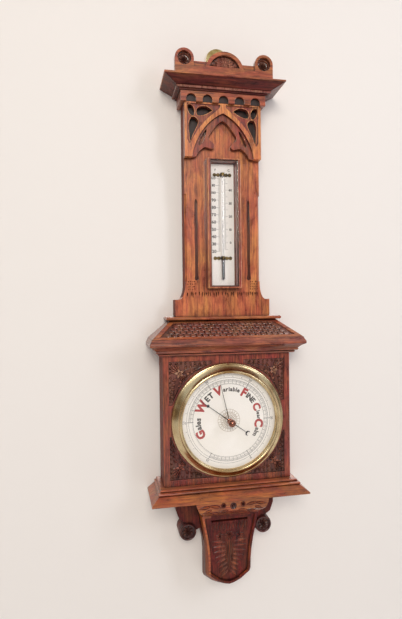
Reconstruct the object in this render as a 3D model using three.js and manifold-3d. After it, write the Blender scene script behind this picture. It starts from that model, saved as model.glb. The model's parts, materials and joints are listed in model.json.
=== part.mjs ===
// Oak wall barometer: an aneroid with an eight inch dial in a square carved case, and a boxed
// thermometer on the neck above it. Millimetres. The origin is on the dial's axis at the wall,
// +Z is up, +X is to the right and the front looks along -Y. A depth is a distance from the wall.
import * as THREE from 'three'
import { mergeVertices } from 'three/addons/utils/BufferGeometryUtils.js'
import Module from 'manifold-3d'

const wasm = await Module()
wasm.setup()

// Fits: the gap between pieces that touch, and how far a cutter runs past the face it leaves
const seat = 0.3
const overrun = 5
const mergeDistance = 0.001

// Steps round a full circle, coarse for small turned pieces
const fineSteps = 64
const middleSteps = 40
const coarseSteps = 20

// Square case round the dial
const caseHalfWidth = 139.5
const caseDepth = 68
const caseTop = 141
const caseBottom = -134
const caseFrontThickness = 16
const caseSideThickness = 12
const caseBackThickness = 10
const caseBorder = 12.5
const carvingDepth = 3
const carvingReach = 92
const carvingRingClearance = 3

// Aneroid movement, from the drum's back to its cocks
const drumRadius = 101.5
const drumWall = 1.5
const drumBackDepth = 14
const drumFlangeWidth = 5.5
const drumClearance = 1.5
const movementPlateRadius = 78
const movementPlateThickness = 3
const capsuleRadius = 46
const capsuleFootRadius = 9
const capsulePillarRadius = 4.5
const capsuleFootShare = 0.058
const capsuleShare = 0.351
const capsulePillarShare = 0.127
const headroomShare = 0.253
const pulleyRiseShare = 0.31
const cockRiseShare = 0.73
const corrugationDepth = 1.6
const corrugationCount = 4
const bridgeHalfSpan = 60
const bridgeLegThickness = 8
const bridgeHalfWidth = 12
const bridgeBarThickness = 4
const leverThickness = 1.6
const leverHalfWidth = 8
const leverArmWidth = 5
const leverArmLength = 46.4
const leverArmX = 4
const leverPillarClearance = 0.9
const leverTurnRatio = 1 / 150
const rockerTurnRatio = 1 / 15
const rockerShaftRadius = 1.6
const rockerShaftHalfLength = 10
const rockerArmWidth = 3
const rockerArmThickness = 1.6
const rockerPostThickness = 3
const rockerPostHalfWidth = 4
const arborRadius = 0.9
const pulleyRadius = 2.3
const pulleyThickness = 2.4
const chainWidth = 0.9
const cockThickness = 1.8
const cockHalfWidth = 3
const cockReach = 20
const cockFootLength = 6
const hairspringTurns = 3
const hairspringOuterRadius = 9
const hairspringInnerRadius = 2.6
const hairspringHeight = 1
const hairspringThickness = 0.5
const hairspringStepsPerTurn = 16
const screwShaftRadius = 2.8
const screwHeadRadius = 5.5
const screwHeadHeight = 3.2
const screwTipIntoLeg = 8
const screwSlotWidth = 1.2
const screwSlotDepth = 1.4
const accessHoleRadius = 12

// Dial, hands, glass and bezel
const dialClearance = 0.7
const dialThickness = 3.9
const dialHoleRadius = 3
const spacerWidth = 3.1
const spacerThickness = 3.7
const glassThickness = 3
const bezelLip = 4.7
const bezelRimWidth = 15.7
const bezelHeight = 19
const handClearance = 1
const handThickness = 0.7
const handBossRadius = 4
const handBossHeight = 1.5
const handLength = 78
const handTailLength = 47
const handHalfWidth = 0.8
const handSpadeRadius = 3.6
const handSpadeReach = 56
const crescentRadius = 5.2
const crescentThickness = 2
const handAngle = -54
const setHandLength = 79
const setHandBossRadius = 3.5
const setHandBossHeight = 1
const setHandHalfWidth = 0.7
const setHandThickness = 0.5
const setHandAngle = -13
const knobSpindleRadius = 2.2
const knobClearance = 0.7
const knobFootRadius = 6
const knobStemRadius = 3.4
const knobStemHeight = 9
const knobBallRadius = 8

// Neck plank with its foot, chamfers, grooves and thermometer recess
const neckHalfWidth = 84.3
const neckDepth = 36
const neckFootHalfWidth = 106.5
const neckFootHeight = 36.8
const flareFootHalfWidth = 98
const flareHeight = 34
const neckTongueHalfWidth = 60
const neckChamfer = 4.5
const chamferRise = 39.4
const chamferLength = 189
const grooveX = 59
const grooveRise = 41.4
const grooveLength = 178
const grooveHalfWidth = 3.2
const grooveFootRadius = 4.4
const groovePointLength = 7
const grooveDepth = 6
const neckHeadHalfWidth = 40
const neckHeadRise = 42

// Boxed thermometer
const scaleHalfWidth = 26.2
const scaleMargin = 0.7
const scaleTopMargin = 1.5
const scaleThickness = 4.6
const frameInnerHalfWidth = 28.3
const frameInnerRise = 66.7
const frameInnerHeight = 267.7
const frameStileWidth = 9.2
const frameRailWidth = 6.2
const frameHeight = 21.7
const frameMoulding = 2.5
const paneThickness = 2.2
const paneLap = 2.4
const tubeRadius = 3.6
const tubeBore = 1.5
const tubeTopMargin = 20.5
const bulbRadius = 4
const bulbRise = 11
const bulbLength = 42
const bulbWall = 0.8
const mercuryRise = 90
const clipHalfWidth = 21
const clipHalfHeight = 4
const clipThickness = 0.8
const clipBelowTop = 3.5
const clipAboveBulb = 6.5

// Head: block, arched frieze, tracery, cornice, crest and hanging plate
const headHalfWidth = 93.5
const friezeHeight = 22
const headBlockLift = 1.8
const headBlockDepth = 52.7
const friezeDepth = 59.5
const friezeArchCount = 5
const friezeArchPitch = 35.3
const friezeArchRadius = 10.6
const friezeArchMargin = 6
const traceryHalfWidth = 84.6
const traceryHeight = 116
const traceryClearance = 1.3
const cuspedArchDepth = 47
const corniceHalfWidth = 130.8
const corniceDepth = 87.4
const corniceHeight = 25.5
const corniceBoardThickness = 4
const crestHalfWidth = 106.3
const crestDepth = 72
const crestThickness = 14
const crestRelief = 4
const crestRailHeight = 32
const crestLowRailHeight = 20
const lunetteX = 86.5
const lunetteRise = 36
const lunetteRadius = 20
const lunetteHoleRadius = 14.6
const shellArchRadius = 41.8
const shellArchRise = 13.5
const shellRadius = 34
const shellRise = 9
const shellThickness = 7
const lunetteBossHeight = 7
const plateHeadRadius = 25
const plateHeadRise = 71.5
const plateTailHalfWidth = 15
const plateTailDrop = 25.5
const plateThickness = 2.5
const plateHoleRadius = 6
const plateScrewHeadRadius = 4.4
const plateScrewShankRadius = 2
const plateScrewLength = 20
const plateScrewLowerRise = 12
const plateScrewUpperRise = 48

// Shelf, carved roof and moulding over the case
const shelfHalfWidth = 128.5
const shelfDepth = 51.6
const shelfThickness = 7
const shelfRound = 2
const roofBottomOverhang = 24
const roofTopHalfWidth = 118.3
const roofTopDepth = 41
const roofHeight = 37.4
const roofThickness = 12
const hoodHeight = 35
const hoodLap = 14

// Base, apron, tail plank and the console under the case
const reedsHeight = 10.2
const reedSideOverhang = 14
const reedFrontOverhang = 23
const baseHalfWidth = 169.2
const baseDepth = 108.6
const baseThickness = 15.2
const baseEdge = 3.2
const apronTopHalfWidth = 78
const apronBottomHalfWidth = 61
const apronDepth = 104
const apronHeight = 39
const apronLip = 2
const tailHalfWidth = 111
const tailEarWaist = 104
const tailShoulder = 40
const earX = 85.7
const earDrop = 87.2
const earRadius = 19.4
const earMargin = 1
const earBossHeight = 6
const consoleTopHalfWidth = 62
const consoleHalfWidth = 47
const consoleTopDepth = 78
const consoleCornerDepth = 67
const consoleHeight = 126.2
const consolePointDrop = 32
const consoleUndercut = 0.537
const consoleBorder = 5
const consoleRecess = 5
const apronBossRadius = 7.7
const apronBossDrop = 10.7
const apronBossHeight = 4

// Finishes
const finish = (color, roughness, metalness = 0) =>
  new THREE.MeshStandardMaterial({ color, roughness, metalness })
const oak = finish(0x9a5a2c, 0.35)
const darkOak = finish(0x5c2f1b, 0.4)
const brass = finish(0xc9a24e, 0.25, 1)
const steel = finish(0x8d9097, 0.35, 1)
const bluedSteel = finish(0x232a3d, 0.3, 1)
const copper = finish(0xb5694a, 0.25, 1)
const porcelain = finish(0xf2efe6, 0.2)
const clearGlass = new THREE.MeshStandardMaterial({
  color: 0xe8f0f0, roughness: 0.05, metalness: 0, transparent: true, opacity: 0.3,
})
const quicksilver = finish(0x9a9da2, 0.15, 1)

// A geometry as a solid that can be joined and cut, with its faces turned outwards
function solidOf(geometry) {
  const bare = new THREE.BufferGeometry()
  bare.setAttribute('position', geometry.getAttribute('position'))
  if (geometry.index) bare.setIndex(geometry.index)
  const merged = mergeVertices(bare, mergeDistance)
  const corners = merged.getAttribute('position')
  const faces = Array.from(merged.index.array)
  const points = [0, 1, 2].map(() => new THREE.Vector3())
  let volume = 0
  for (let f = 0; f < faces.length; f += 3) {
    points.forEach((point, k) => point.fromBufferAttribute(corners, faces[f + k]))
    volume += points[0].dot(points[1].cross(points[2]))
  }
  if (volume < 0) faces.reverse()
  return new wasm.Manifold(new wasm.Mesh({
    numProp: 3,
    vertProperties: new Float32Array(corners.array),
    triVerts: new Uint32Array(faces),
  }))
}

// A solid back as a geometry
function geometryOf(solid) {
  const mesh = solid.getMesh()
  const geometry = new THREE.BufferGeometry()
  geometry.setAttribute('position', new THREE.BufferAttribute(mesh.vertProperties, mesh.numProp))
  geometry.setIndex(new THREE.BufferAttribute(mesh.triVerts, 1))
  return geometry
}

const barometer = new THREE.Group()

function add(name, solid, material) {
  const mesh = new THREE.Mesh(geometryOf(solid), material)
  mesh.name = name
  barometer.add(mesh)
}

const mirrored = (points) => [...points, ...points.map(([x, z]) => [-x, z]).reverse()]
const mirroredTip = (points) => [...points, ...points.slice(0, -1).map(([x, z]) => [-x, z]).reverse()]
const shapeOf = (points) => new THREE.Shape(points.map(([x, z]) => new THREE.Vector2(x, z)))
const joined = (solids) => solids.reduce((whole, solid) => whole.add(solid))
const cut = (solid, cutters) => cutters.reduce((rest, cutter) => rest.subtract(cutter), solid)

// A front-view outline sawn out of a board that lies between two depths
function board(shape, backDepth, frontDepth, curveSteps = coarseSteps) {
  const geometry = new THREE.ExtrudeGeometry(shape, {
    depth: frontDepth - backDepth, bevelEnabled: false, curveSegments: curveSteps,
  })
  geometry.rotateX(Math.PI / 2)
  geometry.translate(0, -backDepth, 0)
  return solidOf(geometry)
}

// A side-view outline of [depth, z] points, run along X between two places
function alongX(points, fromX, toX) {
  const shape = new THREE.Shape(points.map(([depth, z]) => new THREE.Vector2(depth, z)))
  const geometry = new THREE.ExtrudeGeometry(shape, { depth: toX - fromX, bevelEnabled: false })
  geometry.rotateX(Math.PI / 2)
  geometry.rotateZ(-Math.PI / 2)
  geometry.translate(toX, 0, 0)
  return solidOf(geometry)
}

// A plan-view outline of [x, depth] points, run up between two heights
function upright(points, fromZ, toZ) {
  const shape = new THREE.Shape(points.map(([x, depth]) => new THREE.Vector2(x, -depth)))
  const geometry = new THREE.ExtrudeGeometry(shape, { depth: toZ - fromZ, bevelEnabled: false })
  geometry.translate(0, 0, fromZ)
  return solidOf(geometry)
}

function block(fromX, toX, backDepth, frontDepth, fromZ, toZ) {
  const geometry = new THREE.BoxGeometry(toX - fromX, frontDepth - backDepth, toZ - fromZ)
  geometry.translate((fromX + toX) / 2, -(backDepth + frontDepth) / 2, (fromZ + toZ) / 2)
  return solidOf(geometry)
}

// A piece turned about an axis that points out of the wall, from [radius, depth] points
function turned(points, x = 0, z = 0, steps = coarseSteps) {
  const profile = points.map(([radius, depth]) => new THREE.Vector2(radius, depth))
  const geometry = new THREE.LatheGeometry(profile, steps)
  geometry.rotateX(Math.PI)
  geometry.translate(x, 0, z)
  return solidOf(geometry)
}

const disc = (radius, backDepth, frontDepth, x = 0, z = 0, steps = coarseSteps) =>
  turned([[0, backDepth], [radius, backDepth], [radius, frontDepth], [0, frontDepth]], x, z, steps)

// A piece turned about an upright axis at one depth, from [radius, z] points
function turnedUpright(points, depth, steps = coarseSteps) {
  const profile = points.map(([radius, z]) => new THREE.Vector2(radius, z))
  const geometry = new THREE.LatheGeometry(profile, steps)
  geometry.rotateX(Math.PI / 2)
  geometry.translate(0, -depth, 0)
  return solidOf(geometry)
}

// A block whose sides and front are moulded: rings of [half width, front depth, z] going up
function moulded(rings, backDepth = 0) {
  const corners = rings.flatMap(([half, front, z]) => [
    [-half, -backDepth, z], [-half, -front, z], [half, -front, z], [half, -backDepth, z],
  ])
  const faces = []
  const sides = 4
  for (let ring = 0; ring + 1 < rings.length; ring += 1) {
    for (let side = 0; side < sides; side += 1) {
      const here = ring * sides + side
      const next = ring * sides + (side + 1) % sides
      faces.push(here, next, next + sides, here, next + sides, here + sides)
    }
  }
  const last = (rings.length - 1) * sides
  faces.push(0, 2, 1, 0, 3, 2, last, last + 1, last + 2, last, last + 2, last + 3)
  const geometry = new THREE.BufferGeometry()
  geometry.setAttribute('position', new THREE.Float32BufferAttribute(corners.flat(), 3))
  geometry.setIndex(faces)
  return solidOf(geometry)
}

// A solid between a front outline and a back one with as many points; each point has its depth
function lofted(front, back) {
  const outline = front.map(([x, , z]) => new THREE.Vector2(x, z))
  if (THREE.ShapeUtils.isClockWise(outline)) return lofted([...front].reverse(), [...back].reverse())
  const faces = []
  const count = front.length
  const caps = THREE.ShapeUtils.triangulateShape(outline, [])
  for (const [a, b, c] of caps) faces.push(a, b, c, count + a, count + c, count + b)
  for (let here = 0; here < count; here += 1) {
    const next = (here + 1) % count
    faces.push(here, count + here, next, next, count + here, count + next)
  }
  const corners = [...front, ...back].map(([x, depth, z]) => [x, -depth, z])
  const geometry = new THREE.BufferGeometry()
  geometry.setAttribute('position', new THREE.Float32BufferAttribute(corners.flat(), 3))
  geometry.setIndex(faces)
  return solidOf(geometry)
}

// Splits a moulded block at its two mitres, which run through an inner and an outer corner
function mitred(name, solid, innerCorner, outerCorner, material) {
  const slope = (outerCorner[1] - innerCorner[1]) / (outerCorner[0] - innerCorner[0])
  const apex = innerCorner[1] - innerCorner[0] * slope
  const reach = outerCorner[0] + overrun
  const { min, max } = solid.boundingBox()
  const prism = (points) => upright(points, min[2] - overrun, max[2] + overrun)
  const far = apex + reach * slope
  const past = Math.min(apex, 0) - overrun
  const front = prism([[0, apex + seat], [-reach, far + seat], [reach, far + seat]])
  const right = prism([[0, apex - seat], [reach, far - seat], [reach, past], [0, past]])
  const left = prism([[0, apex - seat], [0, past], [-reach, past], [-reach, far - seat]])
  add(`${name}_front`, solid.intersect(front), material)
  add(`${name}_left`, solid.intersect(left), material)
  add(`${name}_right`, solid.intersect(right), material)
}

const ringPoints = (centreX, centreZ, radius, fromAngle, toAngle, steps) =>
  Array.from({ length: steps + 1 }, (_, k) => {
    const angle = fromAngle + (toAngle - fromAngle) * k / steps
    return [centreX + radius * Math.cos(angle), centreZ + radius * Math.sin(angle)]
  })

// Radii of the dial, its glass and its bezel, all from the drum that carries them
const drumFlangeRadius = drumRadius + drumFlangeWidth
const dialRadius = drumFlangeRadius - dialClearance
const bezelInnerRadius = drumFlangeRadius + seat
const bezelOuterRadius = bezelInnerRadius + bezelRimWidth
const bezelSightRadius = dialRadius - bezelLip
const movementHoleRadius = drumRadius + drumClearance

// Square case
const sideInner = caseHalfWidth - caseSideThickness
const panelBack = caseDepth - caseFrontThickness
const frameFront = panelBack - seat
const boxInner = sideInner - seat
const topInner = caseTop - caseSideThickness
const bottomInner = caseBottom + caseSideThickness

function buildCase() {
  add('case_side_left', block(-caseHalfWidth, -sideInner, 0, frameFront, caseBottom, caseTop), oak)
  add('case_side_right', block(sideInner, caseHalfWidth, 0, frameFront, caseBottom, caseTop), oak)
  add('case_top_board', block(-boxInner, boxInner, 0, frameFront, topInner, caseTop), oak)
  add('case_bottom_board', block(-boxInner, boxInner, 0, frameFront, caseBottom, bottomInner), oak)
  const back = block(-boxInner, boxInner, 0, caseBackThickness, bottomInner + seat, topInner - seat)
  const access = disc(accessHoleRadius, -overrun, caseBackThickness + overrun, screwX, 0)
  add('case_back_board', back.subtract(access), oak)
  const front = block(-caseHalfWidth, caseHalfWidth, panelBack, caseDepth, caseBottom, caseTop)
  const hole = disc(movementHoleRadius, panelBack - overrun, caseDepth + overrun, 0, 0, fineSteps)
  const ringRadius = bezelOuterRadius + carvingRingClearance
  const ring = disc(ringRadius, panelBack, caseDepth + overrun, 0, 0, fineSteps)
  const fieldX = caseHalfWidth - caseBorder
  const spansX = [[-fieldX, carvingReach - fieldX], [fieldX - carvingReach, fieldX]]
  const [lowZ, highZ] = [caseBottom + caseBorder, caseTop - caseBorder]
  const spansZ = [[lowZ, lowZ + carvingReach], [highZ - carvingReach, highZ]]
  const floor = caseDepth - carvingDepth
  const fields = spansX.flatMap(([fromX, toX]) => spansZ.map(([fromZ, toZ]) =>
    block(fromX, toX, floor, caseDepth + overrun, fromZ, toZ).subtract(ring)))
  add('case_front_board', cut(front, [hole, ...fields]), oak)
}

// Aneroid movement
const drumInner = drumBackDepth + drumWall
const drumFlangeDepth = caseDepth + seat
const dialBack = drumFlangeDepth + drumWall + seat
const dialFront = dialBack + dialThickness
const plateBack = drumInner + seat
const plateFront = plateBack + movementPlateThickness
const capsuleBack = plateFront + seat
const screwX = -(bridgeHalfSpan - bridgeLegThickness / 2)
const stackHeight = dialBack - plateFront
const capsuleFootFront = capsuleBack + stackHeight * capsuleFootShare
const capsuleFace = capsuleFootFront + stackHeight * capsuleShare
const pillarFront = capsuleFace + stackHeight * capsulePillarShare
const leverBack = pillarFront + leverPillarClearance
const headroom = stackHeight * headroomShare
const barFront = dialBack - headroom
const barBack = barFront - bridgeBarThickness
const leverPivotX = -(bridgeHalfSpan - bridgeLegThickness - seat)
const leverReach = leverArmX - leverPivotX
const rockerShortArm = leverReach * leverTurnRatio / rockerTurnRatio
const rockerZ = -(leverArmLength + rockerShortArm)
const rockerDepth = leverBack - rockerArmThickness / 2 - seat
const chainX = pulleyRadius + seat + chainWidth / 2
const pulleyBack = barFront + headroom * pulleyRiseShare
const pulleyFront = pulleyBack + pulleyThickness
const chainDepth = (pulleyBack + pulleyFront) / 2
const cockBack = barFront + headroom * cockRiseShare

function buildDrum() {
  const outer = drumRadius
  const flange = drumFlangeRadius
  const flangeFront = drumFlangeDepth + drumWall
  const drum = turned([
    [0, drumBackDepth], [outer, drumBackDepth], [outer, drumFlangeDepth], [flange, drumFlangeDepth],
    [flange, flangeFront], [outer - drumWall, flangeFront], [outer - drumWall, drumInner], [0, drumInner],
  ], 0, 0, fineSteps)
  const screwHole = disc(screwShaftRadius + seat, drumBackDepth - overrun, drumInner + overrun, screwX)
  add('movement_drum', drum.subtract(screwHole), brass)
}

function buildCapsule() {
  const wavePoints = (depth, sign) => Array.from({ length: 2 * corrugationCount + 1 }, (_, k) => {
    const radius = capsuleRadius - (capsuleRadius - capsuleFootRadius) * k / (2 * corrugationCount)
    return [radius, depth + (k % 2) * sign * corrugationDepth]
  })
  add('aneroid_capsule', turned([
    [0, capsuleBack], [capsuleFootRadius, capsuleBack], ...wavePoints(capsuleFootFront, 1).reverse(),
    ...wavePoints(capsuleFace, -1), [capsulePillarRadius, capsuleFace],
    [capsulePillarRadius, pillarFront], [0, pillarFront],
  ], 0, 0, middleSteps), brass)
}

function buildMovement() {
  const plateHole = disc(screwShaftRadius + seat, drumBackDepth, plateFront + overrun, screwX)
  const plate = disc(movementPlateRadius, plateBack, plateFront, 0, 0, middleSteps)
  add('movement_plate', plate.subtract(plateHole).add(rockerBracket()), brass)
  buildCapsule()
  const legInner = bridgeHalfSpan - bridgeLegThickness
  const halfWidth = bridgeHalfWidth
  const bridge = block(-bridgeHalfSpan, bridgeHalfSpan, capsuleBack, barFront, -halfWidth, halfWidth)
  const arch = block(-legInner, legInner, capsuleBack - overrun, barBack,
    -halfWidth - overrun, halfWidth + overrun)
  const tipDepth = capsuleBack + screwTipIntoLeg
  const legHole = disc(screwShaftRadius + seat, capsuleBack - overrun, tipDepth + seat, screwX)
  add('mainspring_bridge', cut(bridge, [arch, legHole]).add(arborCock()), steel)

  const headFront = drumBackDepth - seat
  const headBack = headFront - screwHeadHeight
  const slotReach = screwHeadRadius + overrun
  const slot = block(screwX - slotReach, screwX + slotReach, headBack - overrun, headBack + screwSlotDepth,
    -screwSlotWidth / 2, screwSlotWidth / 2)
  const screw = turned([
    [0, headBack], [screwHeadRadius, headBack], [screwHeadRadius, headFront],
    [screwShaftRadius, headFront], [screwShaftRadius, tipDepth], [0, tipDepth],
  ], screwX)
  add('regulating_screw', screw.subtract(slot), steel)

  const leverFront = leverBack + leverThickness
  const [armLeft, armRight] = [leverArmX - leverArmWidth / 2, leverArmX + leverArmWidth / 2]
  const leaf = block(leverPivotX, armRight, leverBack, leverFront, -leverHalfWidth, leverHalfWidth)
  const armEnd = -leverArmLength - rockerArmWidth / 2
  add('main_lever', leaf.add(block(armLeft, armRight, leverBack, leverFront, armEnd, 0)), steel)
  buildRocker()
}

// The two posts on the movement plate between which the rocker's shaft turns
function rockerBracket() {
  const postX = rockerShaftHalfLength + seat
  const outerX = postX + rockerPostThickness
  const postFront = rockerDepth + rockerShaftRadius
  const [lowZ, highZ] = [rockerZ - rockerPostHalfWidth, rockerZ + rockerPostHalfWidth]
  const bracket = block(leverArmX - outerX, leverArmX + outerX, plateBack, postFront, lowZ, highZ)
  const throat = block(leverArmX - postX, leverArmX + postX, plateFront + rockerPostThickness,
    postFront + overrun, lowZ - overrun, highZ + overrun)
  return bracket.subtract(throat)
}

function buildRocker() {
  const shaft = solidOf(new THREE.CylinderGeometry(
    rockerShaftRadius, rockerShaftRadius, 2 * rockerShaftHalfLength, coarseSteps,
  ).rotateZ(Math.PI / 2).translate(leverArmX, -rockerDepth, rockerZ))
  const halfWidth = rockerArmWidth / 2
  const halfThickness = rockerArmThickness / 2
  const shortArm = block(leverArmX - halfWidth, leverArmX + halfWidth,
    rockerDepth - halfThickness, rockerDepth + halfThickness, rockerZ, rockerZ + rockerShortArm)
  const longArm = block(chainX - halfWidth, chainX + halfWidth,
    rockerDepth, chainDepth + chainWidth, rockerZ - halfThickness, rockerZ + halfThickness)
  add('rocker_shaft', joined([shaft, shortArm, longArm]), steel)
  const chainHalf = chainWidth / 2
  add('fusee_chain', block(chainX - chainHalf, chainX + chainHalf,
    chainDepth - chainHalf, chainDepth + chainHalf, rockerZ + halfThickness + seat, pulleyRadius), steel)
}

// The cock on the bridge's bar that steadies the hand's arbor
function arborCock() {
  const cockFront = cockBack + cockThickness
  const foot = block(cockReach - cockFootLength, cockReach, barBack, cockFront, -cockHalfWidth, cockHalfWidth)
  const arm = block(-cockHalfWidth, cockReach, cockBack, cockFront, -cockHalfWidth, cockHalfWidth)
  return foot.add(arm).subtract(disc(arborRadius + seat, cockBack - overrun, cockFront + overrun))
}

function buildArbor() {
  const handBack = dialFront + handClearance
  const handTop = handBack + handBossHeight
  add('hand_arbor', turned([
    [0, barFront + seat], [arborRadius, barFront + seat], [arborRadius, pulleyBack],
    [pulleyRadius, pulleyBack], [pulleyRadius, pulleyFront], [arborRadius, pulleyFront],
    [arborRadius, handBack - seat], [0, handBack - seat],
  ]), steel)
  const steps = hairspringTurns * hairspringStepsPerTurn
  const springBack = pulleyFront + seat
  const springFront = springBack + hairspringHeight
  const growth = (hairspringOuterRadius - hairspringInnerRadius) / steps
  const spiral = (offset) => Array.from({ length: steps + 1 }, (_, k) => {
    const angle = Math.PI + 2 * Math.PI * k / hairspringStepsPerTurn
    const radius = hairspringInnerRadius + growth * k + offset
    return [radius * Math.cos(angle), radius * Math.sin(angle)]
  })
  const ribbonShape = shapeOf([...spiral(hairspringThickness), ...spiral(0).reverse()])
  const ribbon = board(ribbonShape, springBack, springFront)
  const stud = disc(arborRadius, barFront + seat, springFront, -hairspringOuterRadius)
  add('hairspring', ribbon.add(stud), bluedSteel)

  const handOutline = shapeOf([
    [-handHalfWidth, -handTailLength], [handHalfWidth, -handTailLength],
    [handHalfWidth, handSpadeReach - handSpadeRadius], [handSpadeRadius, handSpadeReach],
    [handHalfWidth, handSpadeReach + handSpadeRadius], [0, handLength],
    [-handHalfWidth, handSpadeReach + handSpadeRadius], [-handSpadeRadius, handSpadeReach],
    [-handHalfWidth, handSpadeReach - handSpadeRadius],
  ])
  const handFront = handBack + handThickness
  const blade = board(handOutline, handBack, handFront)
  const crescentZ = -handTailLength - crescentRadius + crescentThickness / 2
  const moon = disc(crescentRadius, handBack, handFront, 0, crescentZ)
  const bite = disc(crescentRadius - crescentThickness / 2, handBack - overrun, handFront + overrun,
    0, crescentZ - crescentThickness)
  const boss = disc(handBossRadius, handBack, handTop)
  const hand = joined([blade, moon.subtract(bite), boss])
  add('indicator_hand', hand.rotate([0, handAngle, 0]), bluedSteel)
}

// Dial, spacer ring, glass, bezel, and the set hand with its knob
const spacerBack = dialFront + seat
const glassBack = spacerBack + spacerThickness + seat
const glassFront = glassBack + glassThickness
const lipBack = glassFront + seat

function buildDial() {
  const hole = disc(dialHoleRadius, dialBack - overrun, dialFront + overrun)
  add('dial_plate', disc(dialRadius, dialBack, dialFront, 0, 0, fineSteps).subtract(hole), porcelain)
  const spacerFront = spacerBack + spacerThickness
  const spacerInner = dialRadius - spacerWidth
  add('spacer_ring', turned([
    [spacerInner, spacerBack], [dialRadius, spacerBack], [dialRadius, spacerFront],
    [spacerInner, spacerFront], [spacerInner, spacerBack],
  ], 0, 0, fineSteps), brass)
  const glass = disc(dialRadius, glassBack, glassFront, 0, 0, fineSteps)
  const knobHole = disc(knobSpindleRadius + knobClearance, glassBack - overrun, glassFront + overrun)
  add('dial_glass', glass.subtract(knobHole), clearGlass)

  const bezelBack = caseDepth + seat
  const width = bezelOuterRadius - bezelSightRadius
  const profileShares = [
    [1, 0], [1, 0.12], [0.94, 0.24], [0.82, 0.28], [0.7, 0.3], [0.5, 0.55], [0.42, 0.84],
    [0.33, 0.98], [0.2, 1], [0.08, 0.9], [0, 0.78],
  ]
  const profile = profileShares.map(([out, up]) =>
    [bezelSightRadius + out * width, bezelBack + up * bezelHeight])
  add('bezel', turned([
    [bezelInnerRadius, bezelBack], ...profile, [bezelSightRadius, lipBack],
    [bezelInnerRadius, lipBack], [bezelInnerRadius, bezelBack],
  ], 0, 0, fineSteps), brass)
}

function buildSetHand() {
  const bossBack = dialFront + handClearance + handBossHeight + seat
  const bossFront = bossBack + setHandBossHeight
  const outline = shapeOf([
    [-setHandHalfWidth, 0], [setHandHalfWidth, 0],
    [setHandHalfWidth / 2, setHandLength], [-setHandHalfWidth / 2, setHandLength],
  ])
  const blade = board(outline, bossBack, bossBack + setHandThickness)
  const hand = blade.add(disc(setHandBossRadius, bossBack, bossFront))
  add('set_hand', hand.rotate([0, setHandAngle, 0]), brass)
  const spindleBack = bossFront + seat
  const footBack = glassFront + seat
  const footFront = footBack + knobFootRadius / 4
  const ballDepth = footFront + knobStemHeight + knobBallRadius
  const startAngle = -Math.acos(knobStemRadius / knobBallRadius)
  const ball = ringPoints(0, ballDepth, knobBallRadius, startAngle, Math.PI / 2, coarseSteps / 2)
  add('set_knob', turned([
    [0, spindleBack], [knobSpindleRadius, spindleBack], [knobSpindleRadius, footBack],
    [knobFootRadius, footBack], [knobFootRadius, footFront],
    [knobStemRadius, footFront + knobFootRadius / 4], ...ball.slice(0, -1), [0, ballDepth + knobBallRadius],
  ]), copper)
}

// Neck plank
const hoodBottom = caseTop + seat
const hoodTop = hoodBottom + hoodHeight
const roofBottom = hoodTop + seat
const roofTop = roofBottom + roofHeight
const shelfBottom = roofTop + seat
const shelfTop = shelfBottom + shelfThickness
const neckFootBottom = shelfTop + seat
const neckFootTop = neckFootBottom + neckFootHeight
const frameInnerBottom = neckFootBottom + frameInnerRise
const frameInnerTop = frameInnerBottom + frameInnerHeight
const scaleBottom = frameInnerBottom + scaleMargin
const scaleTop = frameInnerTop - scaleTopMargin
const traceryBottom = frameInnerTop + frameRailWidth + traceryClearance
const traceryTop = traceryBottom + traceryHeight
const headBlockBottom = traceryTop + seat
const friezeBottom = headBlockBottom - headBlockLift
const friezeTop = friezeBottom + friezeHeight
const corniceTop = friezeTop + corniceHeight
const corniceBoardBottom = corniceTop - corniceBoardThickness
const lunetteZ = corniceTop + lunetteRise
const shellArchZ = corniceTop + shellArchRise
const plateHeadZ = corniceTop + plateHeadRise
const plateTailBottom = corniceTop - plateTailDrop
const plateScrewLowerZ = plateTailBottom + plateScrewLowerRise
const plateScrewUpperZ = plateTailBottom + plateScrewUpperRise
const neckTop = corniceTop + neckHeadRise
const chamferStart = neckFootTop + chamferRise
const grooveStart = neckFootTop + grooveRise
const grooveEnd = grooveStart + grooveLength
const scaleFront = neckDepth
const scaleBack = scaleFront - scaleThickness

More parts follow.
